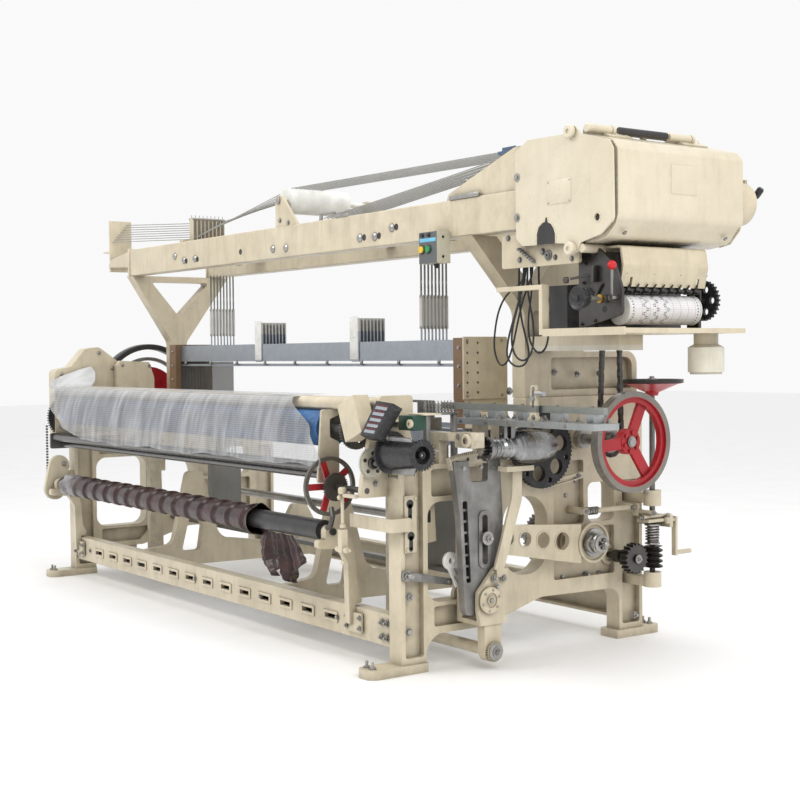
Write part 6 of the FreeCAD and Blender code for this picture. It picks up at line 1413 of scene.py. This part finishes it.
def lower_cords():
    """The lower band of harness cords: taut from the dobby's comb, over the lower roller and down."""
    for step in range(LOWER_CORDS):
        y = 482 + 19 * step
        start = (96, 452 + 17 * step, 2020 - 2 * (step % 2))
        route = (start, (-260, 456 + 17.2 * step, 1984), (-620, 462 + 17.6 * step, 1951),
                 (-960, 470 + 18.2 * step, 1921), (LOWER_ROLLER_X + 10, y, LOWER_ROLLER_Z + 37),
                 (LOWER_ROLLER_X - 38, y, LOWER_ROLLER_Z + 14), (LOWER_ROLLER_X - 41, y, LOWER_ROLLER_Z - 40))
        cord = spline(f"lower_cord_{step + 1}", route, LOWER_CORD_R, "cord")


# ------------------------------------------------------------------------------------------ left end

def left_end_details():
    """The chain wheel, chain, cover screws and brake drum at the left end."""
    wheel = Piece("left_chain_wheel").toothed("x", (-6, 905), -3262, -3252, 128, 118, 54)
    wheel.turned((-3262, -6, 905), LEFT, [(40, 0), (40, 12), (30, 16)], 26).done("black_plastic")
    chain = Piece("left_chain")
    for step in range(26):
        z = 860 - 16 * step
        chain.box(-3262, -3254, -142, -130, z - 12, z - 1, 1.5)
        chain.rod((-3266, -136, z - 7), (-3250, -136, z - 7), 4, 8)
    chain.done("dark_steel")
    screws = Piece("left_cover_screws")
    for y, z in ((-60, 850), (40, 830), (340, 1060), (340, 850), (180, 1270), (-50, 1150), (120, 1000),
                 (260, 1180)):
        screws.bolt((-3240, y, z), RIGHT, 9)
    for y, z in ((300, 1196), (470, 1190), (300, 840), (470, 840)):
        screws.bolt((-3182, y, z), RIGHT, 8)
    screws.turned((-3198, -118, 480), RIGHT, [(20, 0), (20, 6), (12, 9)])
    screws.turned((-3198, -60, 640), RIGHT, [(14, 0), (14, 5), (8, 8)]).done("bare_steel")
    centre = (-3352, 540, 1000)
    guard = Piece("brake_drum_guard").lathe(centre, RIGHT, [
        (292, -34), (316, -34), (320, -28), (320, 28), (316, 34), (292, 34), (288, 28), (288, -28),
        (292, -34)], 72)
    guard.box(-3330, -3318, 560, 845, 984, 1016, 3).done("black_paint")
    Piece("brake_drum").lathe(centre, RIGHT, [
        (0, -20), (60, -20), (64, -12), (170, -12), (184, -18), (184, 18), (170, 12), (64, 12), (60, 16),
        (0, 16)], 72).done("red_paint")
    Piece("brake_band").lathe(centre, RIGHT, [
        (222, -12), (240, -12), (242, -8), (242, 8), (240, 12), (222, 12), (222, -12)], 72).done("cast_grey")
    Piece("brake_drum_axle").rod((-3392, 540, 1000), (LEFT_FACE, 540, 1000), 22, 24).done("bare_steel")
    bracket = Piece("brake_drum_bracket").box(-3318, LEFT_FACE, 470, 610, 560, 780, 6)
    bracket.box(-3318, -3284, 490, 590, 770, 1050, 6).done("cream_paint")


def frame_opening_details():
    """The bundle of thin wires and the slotted strut that show through the right frame's opening."""
    wire = Piece("frame_wires")
    for shift in range(4):
        wire.tube([(30 + 6 * shift, 232, 372 - 6 * shift), (26, 262, 330),
                   (20 - 3 * shift, 322, 262 - 7 * shift), (4, 372, 226), (-14, 420, 206 + 5 * shift),
                   (-40, 450, 196)], 2.6, 6)
    wire.done("cord")
    Piece("slotted_strut").plate("x", -62, -54, [(150, 830), (196, 836), (214, 500), (170, 494)], 2).done(
        "cream_paint")
    # Painted shade: the strut's slots are black strips on its face, standing for their dark insides.
    holes = Piece("strut_slots")
    for z in (760, 680, 600):
        holes.box(-53.9, -53.4, 168, 186, z - 24, z + 24, 0.2)
    holes.done("black_paint")


side_frame_bolts()
arch_details()
front_rail_details()
key_slot_plate()
tension_link()
indicator()
selector_block()
spring_row()
take_up_train()
lever_details()
drive_details()
gearbox_details()
spool_details()
let_off_details()
dobby_details()
reading_details()
box_details()
heald_details()
comb_details()
lower_roller()
lower_cords()
left_end_details()
frame_opening_details()


# ------------------------------------------------------------------------------------------ stage, light, camera

def add_stage():
    """The pale floor: a wide square under the loom."""
    mesh = bpy.data.meshes.new("floor")
    far = 30
    mesh.from_pydata([(-far, -far, 0), (far, -far, 0), (far, far, 0), (-far, far, 0)], [], [(0, 1, 2, 3)])
    floor = bpy.data.objects.new("floor", mesh)
    bpy.context.scene.collection.objects.link(floor)
    n = Nodes("floor", 0.75)
    n.finish(n.mix(n.ramp(n.noise(3.0, 3.0), (0.3, 0.0), (0.7, 1.0)), (0.90, 0.90, 0.90), (0.93, 0.93, 0.93)))
    mesh.materials.append(n.material)


def area_light(name, place, target, size, power, colour=(1, 1, 1)):
    """A square softbox at place that faces target."""
    light = bpy.data.lights.new(name, "AREA")
    light.shape = "RECTANGLE"
    light.size, light.size_y = size
    light.energy = power
    light.color = colour
    made = bpy.data.objects.new(name, light)
    made.location = place
    made.rotation_euler = (Vector(target) - Vector(place)).to_track_quat("-Z", "Y").to_euler()
    bpy.context.scene.collection.objects.link(made)


def add_light():
    """A bright even studio: pale surroundings, a broad softbox over the front and a lower one on the right."""
    world = bpy.data.worlds.new("studio")
    bpy.context.scene.world = world
    world.use_nodes = True
    sky = world.node_tree.nodes["Background"]
    sky.inputs["Color"].default_value = (1.0, 1.0, 1.0, 1)
    sky.inputs["Strength"].default_value = 0.95
    area_light("key", (-0.5, -4.5, 5.0), (0.2, 0.0, 1.0), (3.0, 2.0), 115, (1.0, 0.985, 0.96))
    area_light("side", (5.5, -1.0, 4.2), (0.8, 0.0, 1.0), (2.4, 2.4), 105, (1.0, 0.99, 0.97))
    area_light("top", (0.0, 0.3, 5.5), (0.0, 0.0, 0.0), (4.0, 2.4), 60)


def add_camera():
    """The photograph's standpoint: beside the front right corner at chest height, aimed almost level."""
    standpoint = (5.73934, -3.74894, 1.24130)
    lens_px, sensor_mm, picture_px = 1398.3, 36.0, 800
    yaw, pitch, roll = (math.radians(a) for a in (54.3635, -1.8431, -0.5141))
    ahead = Vector((-math.sin(yaw) * math.cos(pitch), math.cos(yaw) * math.cos(pitch), math.sin(pitch)))
    level = Vector((math.cos(yaw), math.sin(yaw), 0))
    upright = level.cross(ahead)
    right = level * math.cos(roll) + upright * math.sin(roll)
    up = upright * math.cos(roll) - level * math.sin(roll)
    camera = bpy.data.cameras.new("camera")
    camera.lens = lens_px * sensor_mm / picture_px
    camera.sensor_width = sensor_mm
    camera.clip_end = 100
    made = bpy.data.objects.new("camera", camera)
    turned = Matrix((right, up, -ahead)).transposed().to_4x4()
    made.matrix_world = Matrix.Translation(standpoint) @ turned
    bpy.context.scene.collection.objects.link(made)
    bpy.context.scene.camera = made


add_stage()
add_light()
add_camera()
bpy.context.scene.view_settings.view_transform = "Standard"
